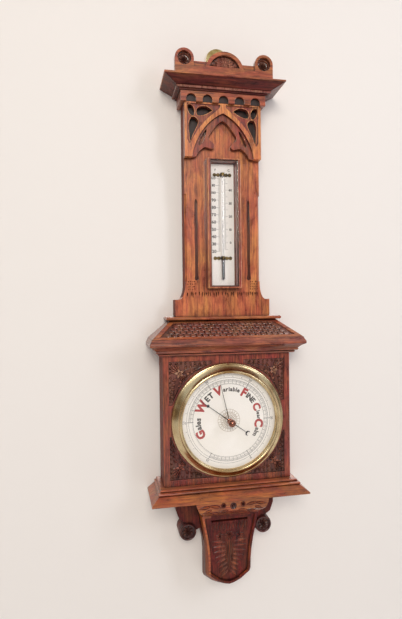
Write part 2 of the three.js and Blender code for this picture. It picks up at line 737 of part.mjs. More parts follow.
function buildNeck() {
  const flareSteps = 8
  const flare = Array.from({ length: flareSteps + 1 }, (_, k) => {
    const turn = Math.PI / 2 * k / flareSteps
    return [
      flareFootHalfWidth - (flareFootHalfWidth - neckHalfWidth) * Math.sin(turn),
      neckFootTop + flareHeight * (1 - Math.cos(turn)),
    ]
  })
  const shoulderZ = corniceBoardBottom - seat
  const outline = mirrored([
    [neckTongueHalfWidth, hoodBottom], [neckTongueHalfWidth, neckFootBottom],
    [neckFootHalfWidth, neckFootBottom], [neckFootHalfWidth, neckFootTop], ...flare,
    [neckHalfWidth, shoulderZ], [neckHeadHalfWidth, shoulderZ], [neckHeadHalfWidth, neckTop],
  ])
  const plank = board(shapeOf(outline), 0, neckDepth)
  const frontPast = neckDepth + overrun
  const [chamferX, chamferDepth, pastX] = [
    neckHalfWidth - neckChamfer, neckDepth - neckChamfer, neckHalfWidth + overrun,
  ]
  const chamfers = [-1, 1].map((side) => upright([
    [chamferX, frontPast], [chamferX, neckDepth], [neckHalfWidth, chamferDepth], [pastX, chamferDepth],
    [pastX, frontPast],
  ].map(([x, depth]) => [side * x, depth]), chamferStart, chamferStart + chamferLength))
  const footZ = grooveStart + 3 * grooveFootRadius
  const pointZ = grooveEnd - groovePointLength
  const grooves = [-grooveX, grooveX].map((x) => board(shapeOf([
    ...ringPoints(x, grooveStart + grooveFootRadius, grooveFootRadius, -Math.PI, 0, coarseSteps / 2),
    [x + grooveHalfWidth, footZ], [x + grooveHalfWidth, pointZ], [x, grooveEnd],
    [x - grooveHalfWidth, pointZ], [x - grooveHalfWidth, footZ],
  ]), neckDepth - grooveDepth, frontPast))
  const recess = block(-scaleHalfWidth - seat, scaleHalfWidth + seat, scaleBack - seat, frontPast,
    scaleBottom - seat, scaleTop + seat)
  const rebateFloor = plateThickness + 2 * seat
  const rebate = block(-plateTailHalfWidth - seat, plateTailHalfWidth + seat, -overrun, rebateFloor,
    plateTailBottom - seat, neckTop + overrun)
  const headRebate = disc(plateHeadRadius + seat, -overrun, rebateFloor, 0, plateHeadZ, middleSteps)
  const pilots = [plateScrewLowerZ, plateScrewUpperZ].map((z) =>
    disc(plateScrewShankRadius + seat, 0, plateScrewLength + 2 * seat, 0, z))
  add('neck_board', cut(plank, [...chamfers, ...grooves, recess, rebate, headRebate, ...pilots]), oak)
}

// Hanging plate of brass, let into the back of the neck and held by two countersunk screws
function buildHangingPlate() {
  const back = seat
  const front = back + plateThickness
  const tail = block(-plateTailHalfWidth, plateTailHalfWidth, back, front, plateTailBottom, plateHeadZ)
  const head = disc(plateHeadRadius, back, front, 0, plateHeadZ, middleSteps)
  const screwPoints = (extra) => [
    [0, back - extra], [plateScrewHeadRadius + extra, back - extra],
    [plateScrewShankRadius + extra, front], [plateScrewShankRadius + extra, plateScrewLength + extra],
    [0, plateScrewLength + extra],
  ]
  const heights = { lower: plateScrewLowerZ, upper: plateScrewUpperZ }
  const holes = Object.values(heights).map((z) => turned(screwPoints(seat), 0, z))
  const hanger = disc(plateHoleRadius, back - overrun, front + overrun, 0, plateHeadZ)
  add('hanging_plate', cut(tail.add(head), [hanger, ...holes]), brass)
  for (const [place, z] of Object.entries(heights)) {
    add(`plate_screw_${place}`, turned(screwPoints(0), 0, z), brass)
  }
}

// Thermometer: recessed scale, tube with its quicksilver, two clips, moulded frame and pane
const frameBack = neckDepth + seat
const frameFrontDepth = frameBack + frameHeight
const clipBack = scaleFront + seat
const tubeDepth = clipBack + bulbRadius
const bulbBottom = scaleBottom + bulbRise
const bulbTop = bulbBottom + bulbLength
const tubeTop = scaleTop - tubeTopMargin

// Moulded box frame, rebated at the front for its pane
function buildFrame() {
  const outer = frameInnerHalfWidth + frameStileWidth
  const bottom = frameInnerBottom - frameRailWidth
  const top = frameInnerTop + frameRailWidth
  const past = frameFrontDepth + overrun
  const shoulder = frameFrontDepth - frameMoulding
  const rectangle = (inset, depth) => [[-1, -1], [1, -1], [1, 1], [-1, 1]].map(([sideX, sideZ]) => [
    sideX * (outer - inset), depth, sideZ < 0 ? bottom + inset : top - inset,
  ])
  const wall = block(-outer, outer, frameBack, shoulder, bottom, top)
  const slope = lofted(rectangle(frameMoulding, frameFrontDepth), rectangle(0, shoulder))
  const opening = block(-frameInnerHalfWidth, frameInnerHalfWidth, neckDepth, past,
    frameInnerBottom, frameInnerTop)
  const paneHalf = frameInnerHalfWidth + paneLap
  const paneBack = shoulder - paneThickness
  const [paneBottom, paneTop] = [frameInnerBottom - paneLap, frameInnerTop + paneLap]
  const rebate = block(-paneHalf - seat, paneHalf + seat, paneBack - seat, past,
    paneBottom - seat, paneTop + seat)
  add('thermometer_frame', cut(wall.add(slope), [opening, rebate]), darkOak)
  add('thermometer_glass', block(-paneHalf, paneHalf, paneBack, shoulder, paneBottom, paneTop), clearGlass)
}

function buildThermometer() {
  const scaleHalf = scaleHalfWidth
  add('scale_plate', block(-scaleHalf, scaleHalf, scaleBack, scaleFront, scaleBottom, scaleTop), porcelain)

  const bulbInner = bulbRadius - bulbWall
  const neckZ = bulbTop + 2 * bulbRadius - 2 * tubeRadius
  const innerFoot = bulbBottom + 2 * bulbWall
  const outside = [
    [0, bulbBottom], [bulbRadius / 2, bulbBottom + bulbWall / 2], [bulbRadius, bulbBottom + bulbRadius],
    [bulbRadius, bulbTop], [tubeRadius, neckZ], [tubeRadius, tubeTop],
  ]
  const inside = [
    [tubeBore, tubeTop], [tubeBore, neckZ + bulbRadius], [bulbInner, bulbTop],
    [bulbInner, bulbBottom + bulbRadius], [bulbInner / 2, innerFoot], [0, innerFoot],
  ]
  add('thermometer_tube', turnedUpright([...outside, ...inside], tubeDepth), clearGlass)
  const column = inside.slice(1).map(([radius, z]) => [Math.max(radius - seat, 0), z])
  const foot = innerFoot + seat
  add('mercury_column', turnedUpright([
    [0, foot], [(bulbInner - seat) / 2, foot], ...column.slice(0, 3).reverse(),
    [tubeBore - seat, bulbTop + mercuryRise], [0, bulbTop + mercuryRise],
  ], tubeDepth), quicksilver)

  buildClip('upper', tubeTop - clipBelowTop)
  buildClip('lower', bulbTop + clipAboveBulb)
}

// A lobed brass strap over the tube: a sleeve on two legs between two pairs of round ears
function buildClip(place, z) {
  const front = clipBack + clipThickness
  const [low, high] = [z - clipHalfHeight, z + clipHalfHeight]
  const ringInner = tubeRadius + seat
  const ringOuter = ringInner + clipThickness
  const lobeX = clipHalfWidth - clipHalfHeight
  const lobeXs = [lobeX, lobeX - 2 * clipHalfHeight].flatMap((x) => [x, -x])
  const lobes = lobeXs.map((x) => disc(clipHalfHeight, clipBack, front, x, z))
  const wings = block(-lobeX, lobeX, clipBack, front, z - clipHalfHeight / 2, z + clipHalfHeight / 2)
  const legs = block(-ringOuter, ringOuter, clipBack, tubeDepth, low, high)
  const upright = (radius, from, to) =>
    turnedUpright([[0, from], [radius, from], [radius, to], [0, to]], tubeDepth)
  const bore = upright(ringInner, low - overrun, high + overrun)
  const slot = block(-ringInner, ringInner, 0, tubeDepth, low - overrun, high + overrun)
  const behind = block(-clipHalfWidth, clipHalfWidth, 0, clipBack, low - overrun, high + overrun)
  const strap = joined([wings, ...lobes, legs, upright(ringOuter, low, high)])
  add(`tube_clip_${place}`, cut(strap, [bore, slot, behind]), brass)
}

// The room that a piece leaves for the neck plank behind it
const neckRoom = (fromZ, toZ) => block(-neckHalfWidth - seat, neckHalfWidth + seat,
  -overrun, neckDepth + seat, fromZ - overrun, toZ + overrun)

// Frieze with its row of arches, on the head block that wraps the plank
function buildFrieze() {
  const wrap = block(-headHalfWidth, headHalfWidth, 0, headBlockDepth, headBlockBottom, friezeTop)
  add('head_block', wrap.subtract(neckRoom(headBlockBottom, friezeTop)), oak)
  const first = -friezeArchPitch * (friezeArchCount - 1) / 2
  const springZ = friezeTop - friezeArchMargin - friezeArchRadius
  const arches = Array.from({ length: friezeArchCount }, (_, k) => {
    const x = first + k * friezeArchPitch
    return board(shapeOf([
      [x - friezeArchRadius, friezeBottom - overrun], [x + friezeArchRadius, friezeBottom - overrun],
      ...ringPoints(x, springZ, friezeArchRadius, 0, Math.PI, coarseSteps / 2),
    ]), headBlockDepth, friezeDepth + overrun)
  })
  const half = headHalfWidth
  const strip = block(-half, half, headBlockDepth + seat, friezeDepth, friezeBottom, friezeTop)
  add('frieze_board', cut(strip, arches), oak)
}

// Tracery panel: a pointed arch between pierced spandrels, with a cusped arch set inside it
const traceryPoint = ([across, up]) => [across * traceryHalfWidth, traceryBottom + up * traceryHeight]

// Smooths a hand-drawn run of shares into a curve with a few points between each pair
function smoothRun(shares, stepsBetween) {
  const points = shares.map(traceryPoint).map(([x, z]) => new THREE.Vector2(x, z))
  return new THREE.SplineCurve(points).getPoints(stepsBetween * (shares.length - 1)).map((p) => [p.x, p.y])
}

const archInnerShares = [[0.81, 0], [0.77, 0.15], [0.64, 0.37], [0.43, 0.59], [0.2, 0.74], [0, 0.825]]

// Piercings of the left and right spandrels, from one closed run of shares
const pierced = (shares, backDepth, frontDepth) => [1, -1].map((side) => board(
  shapeOf(smoothRun(shares, 2).slice(0, -1).map(([x, z]) => [side * x, z])),
  backDepth - overrun, frontDepth + overrun,
))

const upperEyeShares = [
  [0.26, 0.87], [0.42, 0.945], [0.62, 0.93], [0.7, 0.84], [0.66, 0.755],
  [0.5, 0.77], [0.36, 0.82], [0.26, 0.87],
]
const cornerEyeShares = [
  [0.73, 0.86], [0.8, 0.95], [0.92, 0.955], [0.915, 0.85], [0.84, 0.76], [0.75, 0.755], [0.73, 0.86],
]
const lowerEyeShares = [
  [0.72, 0.735], [0.83, 0.73], [0.9, 0.6], [0.885, 0.42], [0.86, 0.27],
  [0.77, 0.42], [0.66, 0.58], [0.64, 0.67], [0.72, 0.735],
]
const slitShares = [
  [0.6, 0.22], [0.64, 0.27], [0.5, 0.47], [0.42, 0.53], [0.45, 0.42], [0.5, 0.3], [0.6, 0.22],
]
const cuspShares = [
  [0.7, 0.02], [0.6, 0.13], [0.47, 0.2], [0.36, 0.185], [0.27, 0.175], [0.215, 0.22], [0.26, 0.29],
  [0.35, 0.33], [0.37, 0.4], [0.31, 0.47], [0.2, 0.58], [0.09, 0.665], [0, 0.7],
]

function buildTracery() {
  const back = neckDepth + seat
  const halfWidth = traceryHalfWidth
  const panel = block(-halfWidth, halfWidth, back, headBlockDepth, traceryBottom, traceryTop)
  const archInner = smoothRun(archInnerShares, 3)
  const arch = board(shapeOf([
    [-archInner[0][0], traceryBottom - overrun], [archInner[0][0], traceryBottom - overrun],
    ...mirroredTip(archInner),
  ]), back - overrun, headBlockDepth + overrun)
  const eyes = [upperEyeShares, cornerEyeShares, lowerEyeShares].flatMap((shares) =>
    pierced(shares, back, headBlockDepth))
  add('tracery_panel', cut(panel, [arch, ...eyes]), oak)

  const outer = archInner.map(([x, z]) => [Math.max(x - seat, 0), Math.max(z - 2 * seat, traceryBottom)])
  const inner = smoothRun(cuspShares, 2)
  const ring = shapeOf([...mirroredTip(outer), ...mirroredTip(inner).reverse()])
  const slits = pierced(slitShares, back, cuspedArchDepth)
  add('cusped_arch', cut(board(ring, back, cuspedArchDepth), slits), oak)
}

// Splayed cornice in three mitred lengths under a thin top board
function buildCornice() {
  const sideReach = corniceHalfWidth - headHalfWidth
  const frontReach = corniceDepth - friezeDepth
  const bottom = friezeTop + seat
  const height = corniceBoardBottom - seat - bottom
  const profileShares = [
    [0.1, 0], [0.1, 0.12], [0.25, 0.14], [0.29, 0.24], [0.27, 0.36], [0.22, 0.38], [0.31, 0.42], [0.95, 1],
  ]
  const rings = profileShares.map(([out, up]) => [
    headHalfWidth + out * sideReach, friezeDepth + out * frontReach, bottom + up * height,
  ])
  const mouldings = moulded(rings).subtract(neckRoom(bottom, corniceTop))
  mitred('cornice', mouldings, [headHalfWidth, friezeDepth], [corniceHalfWidth, corniceDepth], darkOak)
  const boardTop = block(-corniceHalfWidth, corniceHalfWidth, 0, corniceDepth, corniceBoardBottom, corniceTop)
  const head = block(-neckHeadHalfWidth - seat, neckHeadHalfWidth + seat, -overrun, neckDepth + seat,
    corniceBoardBottom - overrun, corniceTop + overrun)
  add('cornice_top_board', boardTop.subtract(head), oak)
}

// Crest: a rail with two horseshoe lunettes and a half-round arch over a carved shell
function buildCrest() {
  const bottom = corniceTop + seat
  const back = crestDepth - crestThickness
  const field = crestDepth - crestRelief
  const horseshoe = (x, radius, fromDepth, toDepth) => joined([
    disc(radius, fromDepth, toDepth, x, lunetteZ, middleSteps),
    block(x - radius, x + radius, fromDepth, toDepth, bottom, lunetteZ),
  ])
  const roundArch = (radius, fromDepth, toDepth, fromZ) =>
    disc(radius, fromDepth, toDepth, 0, shellArchZ, middleSteps)
      .intersect(block(-radius, radius, fromDepth, toDepth, fromZ, shellArchZ + radius))
  const parts = [-lunetteX, lunetteX].map((x) => horseshoe(x, lunetteRadius, back, crestDepth))
  const body = joined([
    block(-crestHalfWidth, crestHalfWidth, back, field, bottom, bottom + crestRailHeight),
    block(-crestHalfWidth, crestHalfWidth, back, crestDepth, bottom, bottom + crestLowRailHeight),
    roundArch(shellArchRadius, back, crestDepth, bottom), ...parts,
  ])
  const shellBottom = shellArchZ + shellRise
  const shellHole = roundArch(shellRadius, back - overrun, crestDepth + overrun, shellBottom)
  const holes = [-lunetteX, lunetteX].map((x) =>
    disc(lunetteHoleRadius, back - overrun, crestDepth + overrun, x, lunetteZ, middleSteps))
  add('crest_board', cut(body, [shellHole, ...holes]), oak)

  add('crest_shell', roundArch(shellRadius - seat, back, back + shellThickness, shellBottom + seat), darkOak)
  const rim = lunetteHoleRadius - seat
  const bossShares = [[0, 0], [1, 0], [1, 1], [0.86, 1], [0.6, 0.5], [0.35, 0.5], [0.2, 1], [0, 1]]
  const boss = bossShares.map(([out, up]) => [out * rim, back + up * lunetteBossHeight])
  add('lunette_boss_left', turned(boss, -lunetteX, lunetteZ), darkOak)
  add('lunette_boss_right', turned(boss, lunetteX, lunetteZ), darkOak)
}

// Shelf, three mitred roof panels and the moulding over the case
function buildHood() {
  const tongue = block(-neckTongueHalfWidth - seat, neckTongueHalfWidth + seat, -overrun, neckDepth + seat,
    hoodBottom - overrun, shelfTop + overrun)
  const edgeHalf = shelfHalfWidth - shelfRound
  const edgeDepth = shelfDepth - shelfRound
  const shelf = moulded([
    [edgeHalf, edgeDepth, shelfBottom], [shelfHalfWidth, shelfDepth, shelfBottom + shelfRound],
    [shelfHalfWidth, shelfDepth, shelfTop - shelfRound], [edgeHalf, edgeDepth, shelfTop],
  ])
  add('thin_shelf', shelf.subtract(tongue), oak)

  const lowHalf = caseHalfWidth + roofBottomOverhang
  const lowDepth = caseDepth + roofBottomOverhang
  const outer = moulded([[lowHalf, lowDepth, roofBottom], [roofTopHalfWidth, roofTopDepth, roofTop]])
  const inner = moulded([
    [lowHalf - roofThickness, lowDepth - roofThickness, roofBottom],
    [roofTopHalfWidth - roofThickness, roofTopDepth - roofThickness, roofTop],
  ], -overrun)
  const shaft = block(roofThickness - roofTopHalfWidth, roofTopHalfWidth - roofThickness, -overrun,
    roofTopDepth - roofThickness, roofBottom, roofTop + overrun)
  const floorCut = moulded([
    [lowHalf - roofThickness, lowDepth - roofThickness, roofBottom - overrun],
    [lowHalf - roofThickness, lowDepth - roofThickness, roofBottom],
  ], -overrun)
  const roof = cut(outer, [inner, shaft, floorCut, tongue])
  mitred('roof_panel', roof, [roofTopHalfWidth, roofTopDepth], [lowHalf, lowDepth], darkOak)

  const noseOverhang = 29.5 / 24 * roofBottomOverhang
  const profileShares = [
    [0.28, 0], [0.35, 0.1], [0.28, 0.13], [0.5, 0.17], [0.54, 0.23], [0.5, 0.29], [0.56, 0.34], [0.7, 0.46],
    [0.9, 0.55], [0.98, 0.59], [1, 0.67], [0.97, 0.76], [0.88, 0.88], [0.82, 1],
  ]
  const rings = profileShares.map(([out, up]) => [
    caseHalfWidth + out * noseOverhang, caseDepth + out * noseOverhang, hoodBottom + up * hoodHeight,
  ])
  const core = block(hoodLap - caseHalfWidth, caseHalfWidth - hoodLap, -overrun, caseDepth - hoodLap,
    hoodBottom - overrun, hoodTop + overrun)
  mitred('hood_moulding', moulded(rings).subtract(core), [caseHalfWidth, caseDepth], [lowHalf, lowDepth], oak)
}

// Reeded board and splayed base board under the case
const reedsTop = caseBottom - seat
const reedsBottom = reedsTop - reedsHeight
const baseTop = reedsBottom - seat
const baseBottom = baseTop - baseThickness

function buildBase() {
  const reedShares = [
    [0.9, 0], [1, 0.08], [1.05, 0.28], [1, 0.5], [0.86, 0.56],
    [0.66, 0.6], [0.72, 0.68], [0.74, 0.8], [0.66, 0.96], [0.6, 1],
  ]
  add('base_reeds', moulded(reedShares.map(([out, up]) => [
    caseHalfWidth + out * reedSideOverhang, caseDepth + out * reedFrontOverhang,
    reedsBottom + up * reedsHeight,
  ])), oak)
  add('base_board', moulded([
    [baseHalfWidth, baseDepth, baseBottom], [baseHalfWidth, baseDepth, baseBottom + baseEdge],
    [caseHalfWidth + reedSideOverhang, caseDepth + reedFrontOverhang, baseTop],
  ]), oak)
}

// Apron, console and the tail plank behind them
const apronTop = baseBottom - seat
const apronBottom = apronTop - apronHeight
const consoleTop = apronBottom - seat
const consoleCornerZ = consoleTop - consoleHeight
const consoleTipZ = consoleCornerZ - consolePointDrop
const earZ = apronTop - earDrop
const consoleSlope = (consoleTopDepth - consoleCornerDepth) / (consoleTop - consoleCornerZ)
const consoleFrontAt = (z) => consoleTopDepth - (consoleTop - z) * consoleSlope

// Half of the console's front outline, from its top edge down to the point
function consoleHalf(inset) {
  const waistShares = [[0, 0], [0.14, 0.1], [0.4, 0.26], [0.68, 0.44], [0.9, 0.64], [1, 0.82], [1, 1]]
  const flank = waistShares.map(([narrow, down]) => [
    consoleTopHalfWidth - narrow * (consoleTopHalfWidth - consoleHalfWidth) - inset,
    consoleTop - down * (consoleTop - consoleCornerZ),
  ])
  const pointShares = [[0.95, 0.22], [0.55, 0.7], [0.22, 0.93]]
  const point = pointShares.map(([across, down]) => [
    across * (consoleHalfWidth - inset), consoleCornerZ - down * (consoleCornerZ - consoleTipZ - inset),
  ])
  return [...flank, ...point, [0, consoleTipZ + inset]]
}

const lowered = ([x, z], depth) => {
  const drop = z <= consoleCornerZ ? (consoleFrontAt(z) - depth) * consoleUndercut : 0
  return [x, depth, z - drop]
}
function buildConsole() {
  const outline = mirroredTip(consoleHalf(0))
  const back = neckDepth + seat
  const front = outline.map(([x, z]) => [x, consoleFrontAt(z), z])
  const body = lofted(front, outline.map((point) => lowered(point, back)))
  const recessHalf = consoleHalf(consoleBorder).filter(([, z]) => z < consoleTop - consoleBorder)
  const recessTop = [recessHalf[0][0], consoleTop - consoleBorder]
  const recessOutline = mirroredTip([recessTop, ...recessHalf])
  const recess = lofted(
    recessOutline.map(([x, z]) => [x, consoleFrontAt(z) + overrun, z]),
    recessOutline.map(([x, z]) => [x, consoleFrontAt(z) - consoleRecess, z]),
  )
  add('console_body', body.subtract(recess), oak)

  const shoulderZ = apronTop - tailShoulder
  const ear = ringPoints(earX, earZ, earRadius, Math.PI * 0.42, -Math.PI * 1.02, coarseSteps / 2)
  const flank = consoleHalf(0).filter(([, z]) => z < earZ - earRadius / 2)
  const tailHalf = [
    [tailHalfWidth, apronTop], [tailHalfWidth, shoulderZ], [tailEarWaist, shoulderZ - earRadius], ...ear,
    [(earX - earRadius + flank[0][0]) / 2, earZ + earRadius / 4], ...flank,
  ]
  const tail = mirroredTip(tailHalf)
  const sawn = (depth) => tail.map((point) => lowered(point, depth))
  add('tail_board', lofted(sawn(neckDepth), sawn(0)), oak)

  const bossRadius = earRadius - earMargin
  const bossShares = [
    [0, 0], [1, 0], [1, 0.6], [0.9, 1], [0.75, 1], [0.63, 0.4], [0.32, 0.4], [0.2, 0.9], [0, 1],
  ]
  const boss = bossShares.map(([out, up]) => [out * bossRadius, back + up * earBossHeight])
  add('ear_boss_left', turned(boss, -earX, earZ), darkOak)
  add('ear_boss_right', turned(boss, earX, earZ), darkOak)
}

function buildApron() {
  const back = neckDepth + seat
  const bottomDepth = consoleTopDepth + apronLip
  const profileShares = [[1, 0], [1, 0.5], [0.82, 0.62], [0.45, 0.8], [0.12, 0.92], [0, 1]]
  const profile = profileShares.map(([out, down]) => [
    bottomDepth + out * (apronDepth - bottomDepth), apronTop - down * apronHeight,
  ])
  const reach = apronTopHalfWidth + overrun
  const bar = alongX([[back, apronBottom], [back, apronTop], ...profile], -reach, reach)
  const endShares = [[0, 0], [0.05, 0.2], [0.3, 0.45], [0.7, 0.7], [0.92, 0.85], [1, 1]]
  const outline = endShares.map(([inward, down]) => [
    apronTopHalfWidth - inward * (apronTopHalfWidth - apronBottomHalfWidth), apronTop - down * apronHeight,
  ])
  const ends = board(shapeOf(mirrored(outline)), back - overrun, apronDepth + overrun)
  const bossShares = [[0, 0], [1, 0], [1, 0.4], [0.7, 0.8], [0.4, 0.6], [0.25, 1], [0, 1]]
  const boss = turned(bossShares.map(([out, up]) => [
    out * apronBossRadius, apronDepth - apronBossHeight + 2 * up * apronBossHeight,
  ]), 0, apronTop - apronBossDrop)
  add('apron_block', bar.intersect(ends).add(boss), oak)
}

buildCase()
buildDrum()
buildMovement()
buildArbor()
buildDial()
buildSetHand()
buildNeck()
buildHangingPlate()
buildFrame()
buildThermometer()
buildFrieze()
buildTracery()
buildCornice()
buildCrest()
buildHood()
buildBase()
buildApron()
buildConsole()

export default barometer
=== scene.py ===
# %% [markdown]
# # A carved oak wall barometer
# The object is an aneroid barometer: a glazed eight inch dial in a square oak case, a boxed
# thermometer on the neck above it and a carved console below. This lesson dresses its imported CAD
# model. The CAD pieces already have the right sizes and places, so the work is to round their
# corners, carve ornament on them, print the scales and give every piece its finish. Blender works
# in metres here, so a length in millimetres is multiplied by MM.

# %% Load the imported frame
import json
import math
import random

import bmesh
import bpy
from mathutils import Matrix, Vector


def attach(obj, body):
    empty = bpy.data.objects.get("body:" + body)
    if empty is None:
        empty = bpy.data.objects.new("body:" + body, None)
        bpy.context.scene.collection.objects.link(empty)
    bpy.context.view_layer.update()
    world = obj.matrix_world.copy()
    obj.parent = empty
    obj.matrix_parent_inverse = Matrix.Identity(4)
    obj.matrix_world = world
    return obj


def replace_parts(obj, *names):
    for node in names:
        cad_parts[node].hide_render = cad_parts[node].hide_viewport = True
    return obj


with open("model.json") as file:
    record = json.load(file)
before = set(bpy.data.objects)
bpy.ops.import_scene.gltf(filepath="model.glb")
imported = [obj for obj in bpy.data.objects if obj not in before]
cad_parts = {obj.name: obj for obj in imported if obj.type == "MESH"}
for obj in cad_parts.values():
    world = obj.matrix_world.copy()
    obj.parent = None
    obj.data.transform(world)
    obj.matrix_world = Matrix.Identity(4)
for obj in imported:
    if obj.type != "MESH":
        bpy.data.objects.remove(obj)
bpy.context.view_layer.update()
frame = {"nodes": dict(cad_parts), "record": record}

MM = 0.001
nodes = frame["nodes"]
record = frame["record"]
body_of = {node: body for body, members in record["behaviour"]["bodies"].items() for node in members}
chance = random.Random(1887)

# %% [markdown]
# ## Holding and picking
# An operator acts on all that is selected, so a lesson needs a sure way to hold one thing. These
# helpers do by code what a hand does with the mouse: hold a piece, and pick the faces, edges or
# points of it that pass a test on their place and normal.

# %% Hold a piece and pick parts of it
def let_go():
    """Leave edit mode and select nothing."""
    if bpy.context.mode != "OBJECT":
        bpy.ops.object.mode_set(mode="OBJECT")
    bpy.ops.object.select_all(action="DESELECT")


def hold(*pieces):
    """Select these pieces alone, the first of them active."""
    let_go()
    for piece in pieces:
        piece.select_set(True)
    bpy.context.view_layer.objects.active = pieces[0]
    return pieces[0]


def pick(piece, test, kind="FACE"):
    """Enter edit mode with just the parts selected whose centre and normal pass the test."""
    hold(piece)
    bpy.ops.object.mode_set(mode="EDIT")
    bpy.ops.mesh.select_mode(type=kind)
    bpy.ops.mesh.select_all(action="DESELECT")
    mesh = bmesh.from_edit_mesh(piece.data)
    for part in {"FACE": mesh.faces, "EDGE": mesh.edges, "VERT": mesh.verts}[kind]:
        centre = part.co if kind == "VERT" else sum((v.co for v in part.verts), Vector()) / len(part.verts)
        part.select_set(bool(test(centre, Vector() if kind == "EDGE" else part.normal)))
    mesh.select_flush_mode()
    bmesh.update_edit_mesh(piece.data)
    return piece


let_go()
print("nothing is held")

# %% [markdown]
# ## The camera
# The photograph was taken from the left of the barometer and a little above its dial, close enough
# for the far ends of the mouldings to shrink. A camera fitted to the mouldings and to the dial's
# ellipse gives the place and the three turns below, and its focal length in pixels gives the lens.

# %% Stand the camera where the photograph was taken
EYE = Vector((-253.89, -1046.59, 253.44)) * MM
YAW, PITCH, ROLL = 0.1988, -0.0163, -0.0116
FOCAL_PIXELS, FRAME_HEIGHT = 472.35, 619
ahead = Vector((math.sin(YAW) * math.cos(PITCH), math.cos(YAW) * math.cos(PITCH), math.sin(PITCH)))
level = Vector((math.cos(YAW), -math.sin(YAW), 0))
upright = level.cross(ahead)
right = math.cos(ROLL) * level + math.sin(ROLL) * upright
up = math.cos(ROLL) * upright - math.sin(ROLL) * level
camera_data = bpy.data.cameras.new("camera")
camera_data.sensor_width = 36
camera_data.lens = FOCAL_PIXELS * camera_data.sensor_width / FRAME_HEIGHT
camera = bpy.data.objects.new("camera", camera_data)
bpy.context.collection.objects.link(camera)
camera.matrix_world = Matrix.Translation(EYE) @ Matrix((right, up, -ahead)).transposed().to_4x4()
bpy.context.scene.camera = camera
bpy.context.scene.view_settings.view_transform = "Standard"
print("lens", round(camera_data.lens, 2), "mm")

# %% [markdown]
# ## Colours and nodes
# Colours are written as the hex values that a picture editor shows. Blender's sockets take linear
# light, so one function turns the one into the other. One more function adds a node with its
# settings and its links, which keeps each finish short enough to read as a recipe.

# %% Turn hex into light, and add nodes
def light_of(code):
    """The linear colour of an sRGB hex value."""
    parts = [int(code[i:i + 2], 16) / 255 for i in (1, 3, 5)]
    return tuple(p / 12.92 if p <= 0.04045 else ((p + 0.055) / 1.055) ** 2.4 for p in parts) + (1.0,)


def put(tree, kind, inputs=None, stops=(), **settings):
    """Add a node, set it up, and link or fill its inputs. Stops are the colours of a ramp."""
    made = tree.nodes.new("ShaderNode" + kind)
    for name, value in settings.items():
        setattr(made, name, value)
    for place, value in (inputs or {}).items():
        if isinstance(value, bpy.types.NodeSocket):
            tree.links.new(value, made.inputs[place])
        else:
            made.inputs[place].default_value = value
    for index, (place, colour) in enumerate(stops):
        stop = made.color_ramp.elements[index] if index < 2 else made.color_ramp.elements.new(place)
        stop.position, stop.color = place, colour
    return made


def grey(level):
    """A linear grey, for masks."""
    return (level, level, level, 1)


def new_finish(name):
    """An empty material, its node tree, and the place on the piece that its patterns read."""
    material = bpy.data.materials.new(name)
    material.use_nodes = True
    tree = material.node_tree
    tree.nodes.clear()
    return material, tree, put(tree, "TexCoord").outputs["Object"]


print("oak reads as", [round(c, 3) for c in light_of("#a8653a")])
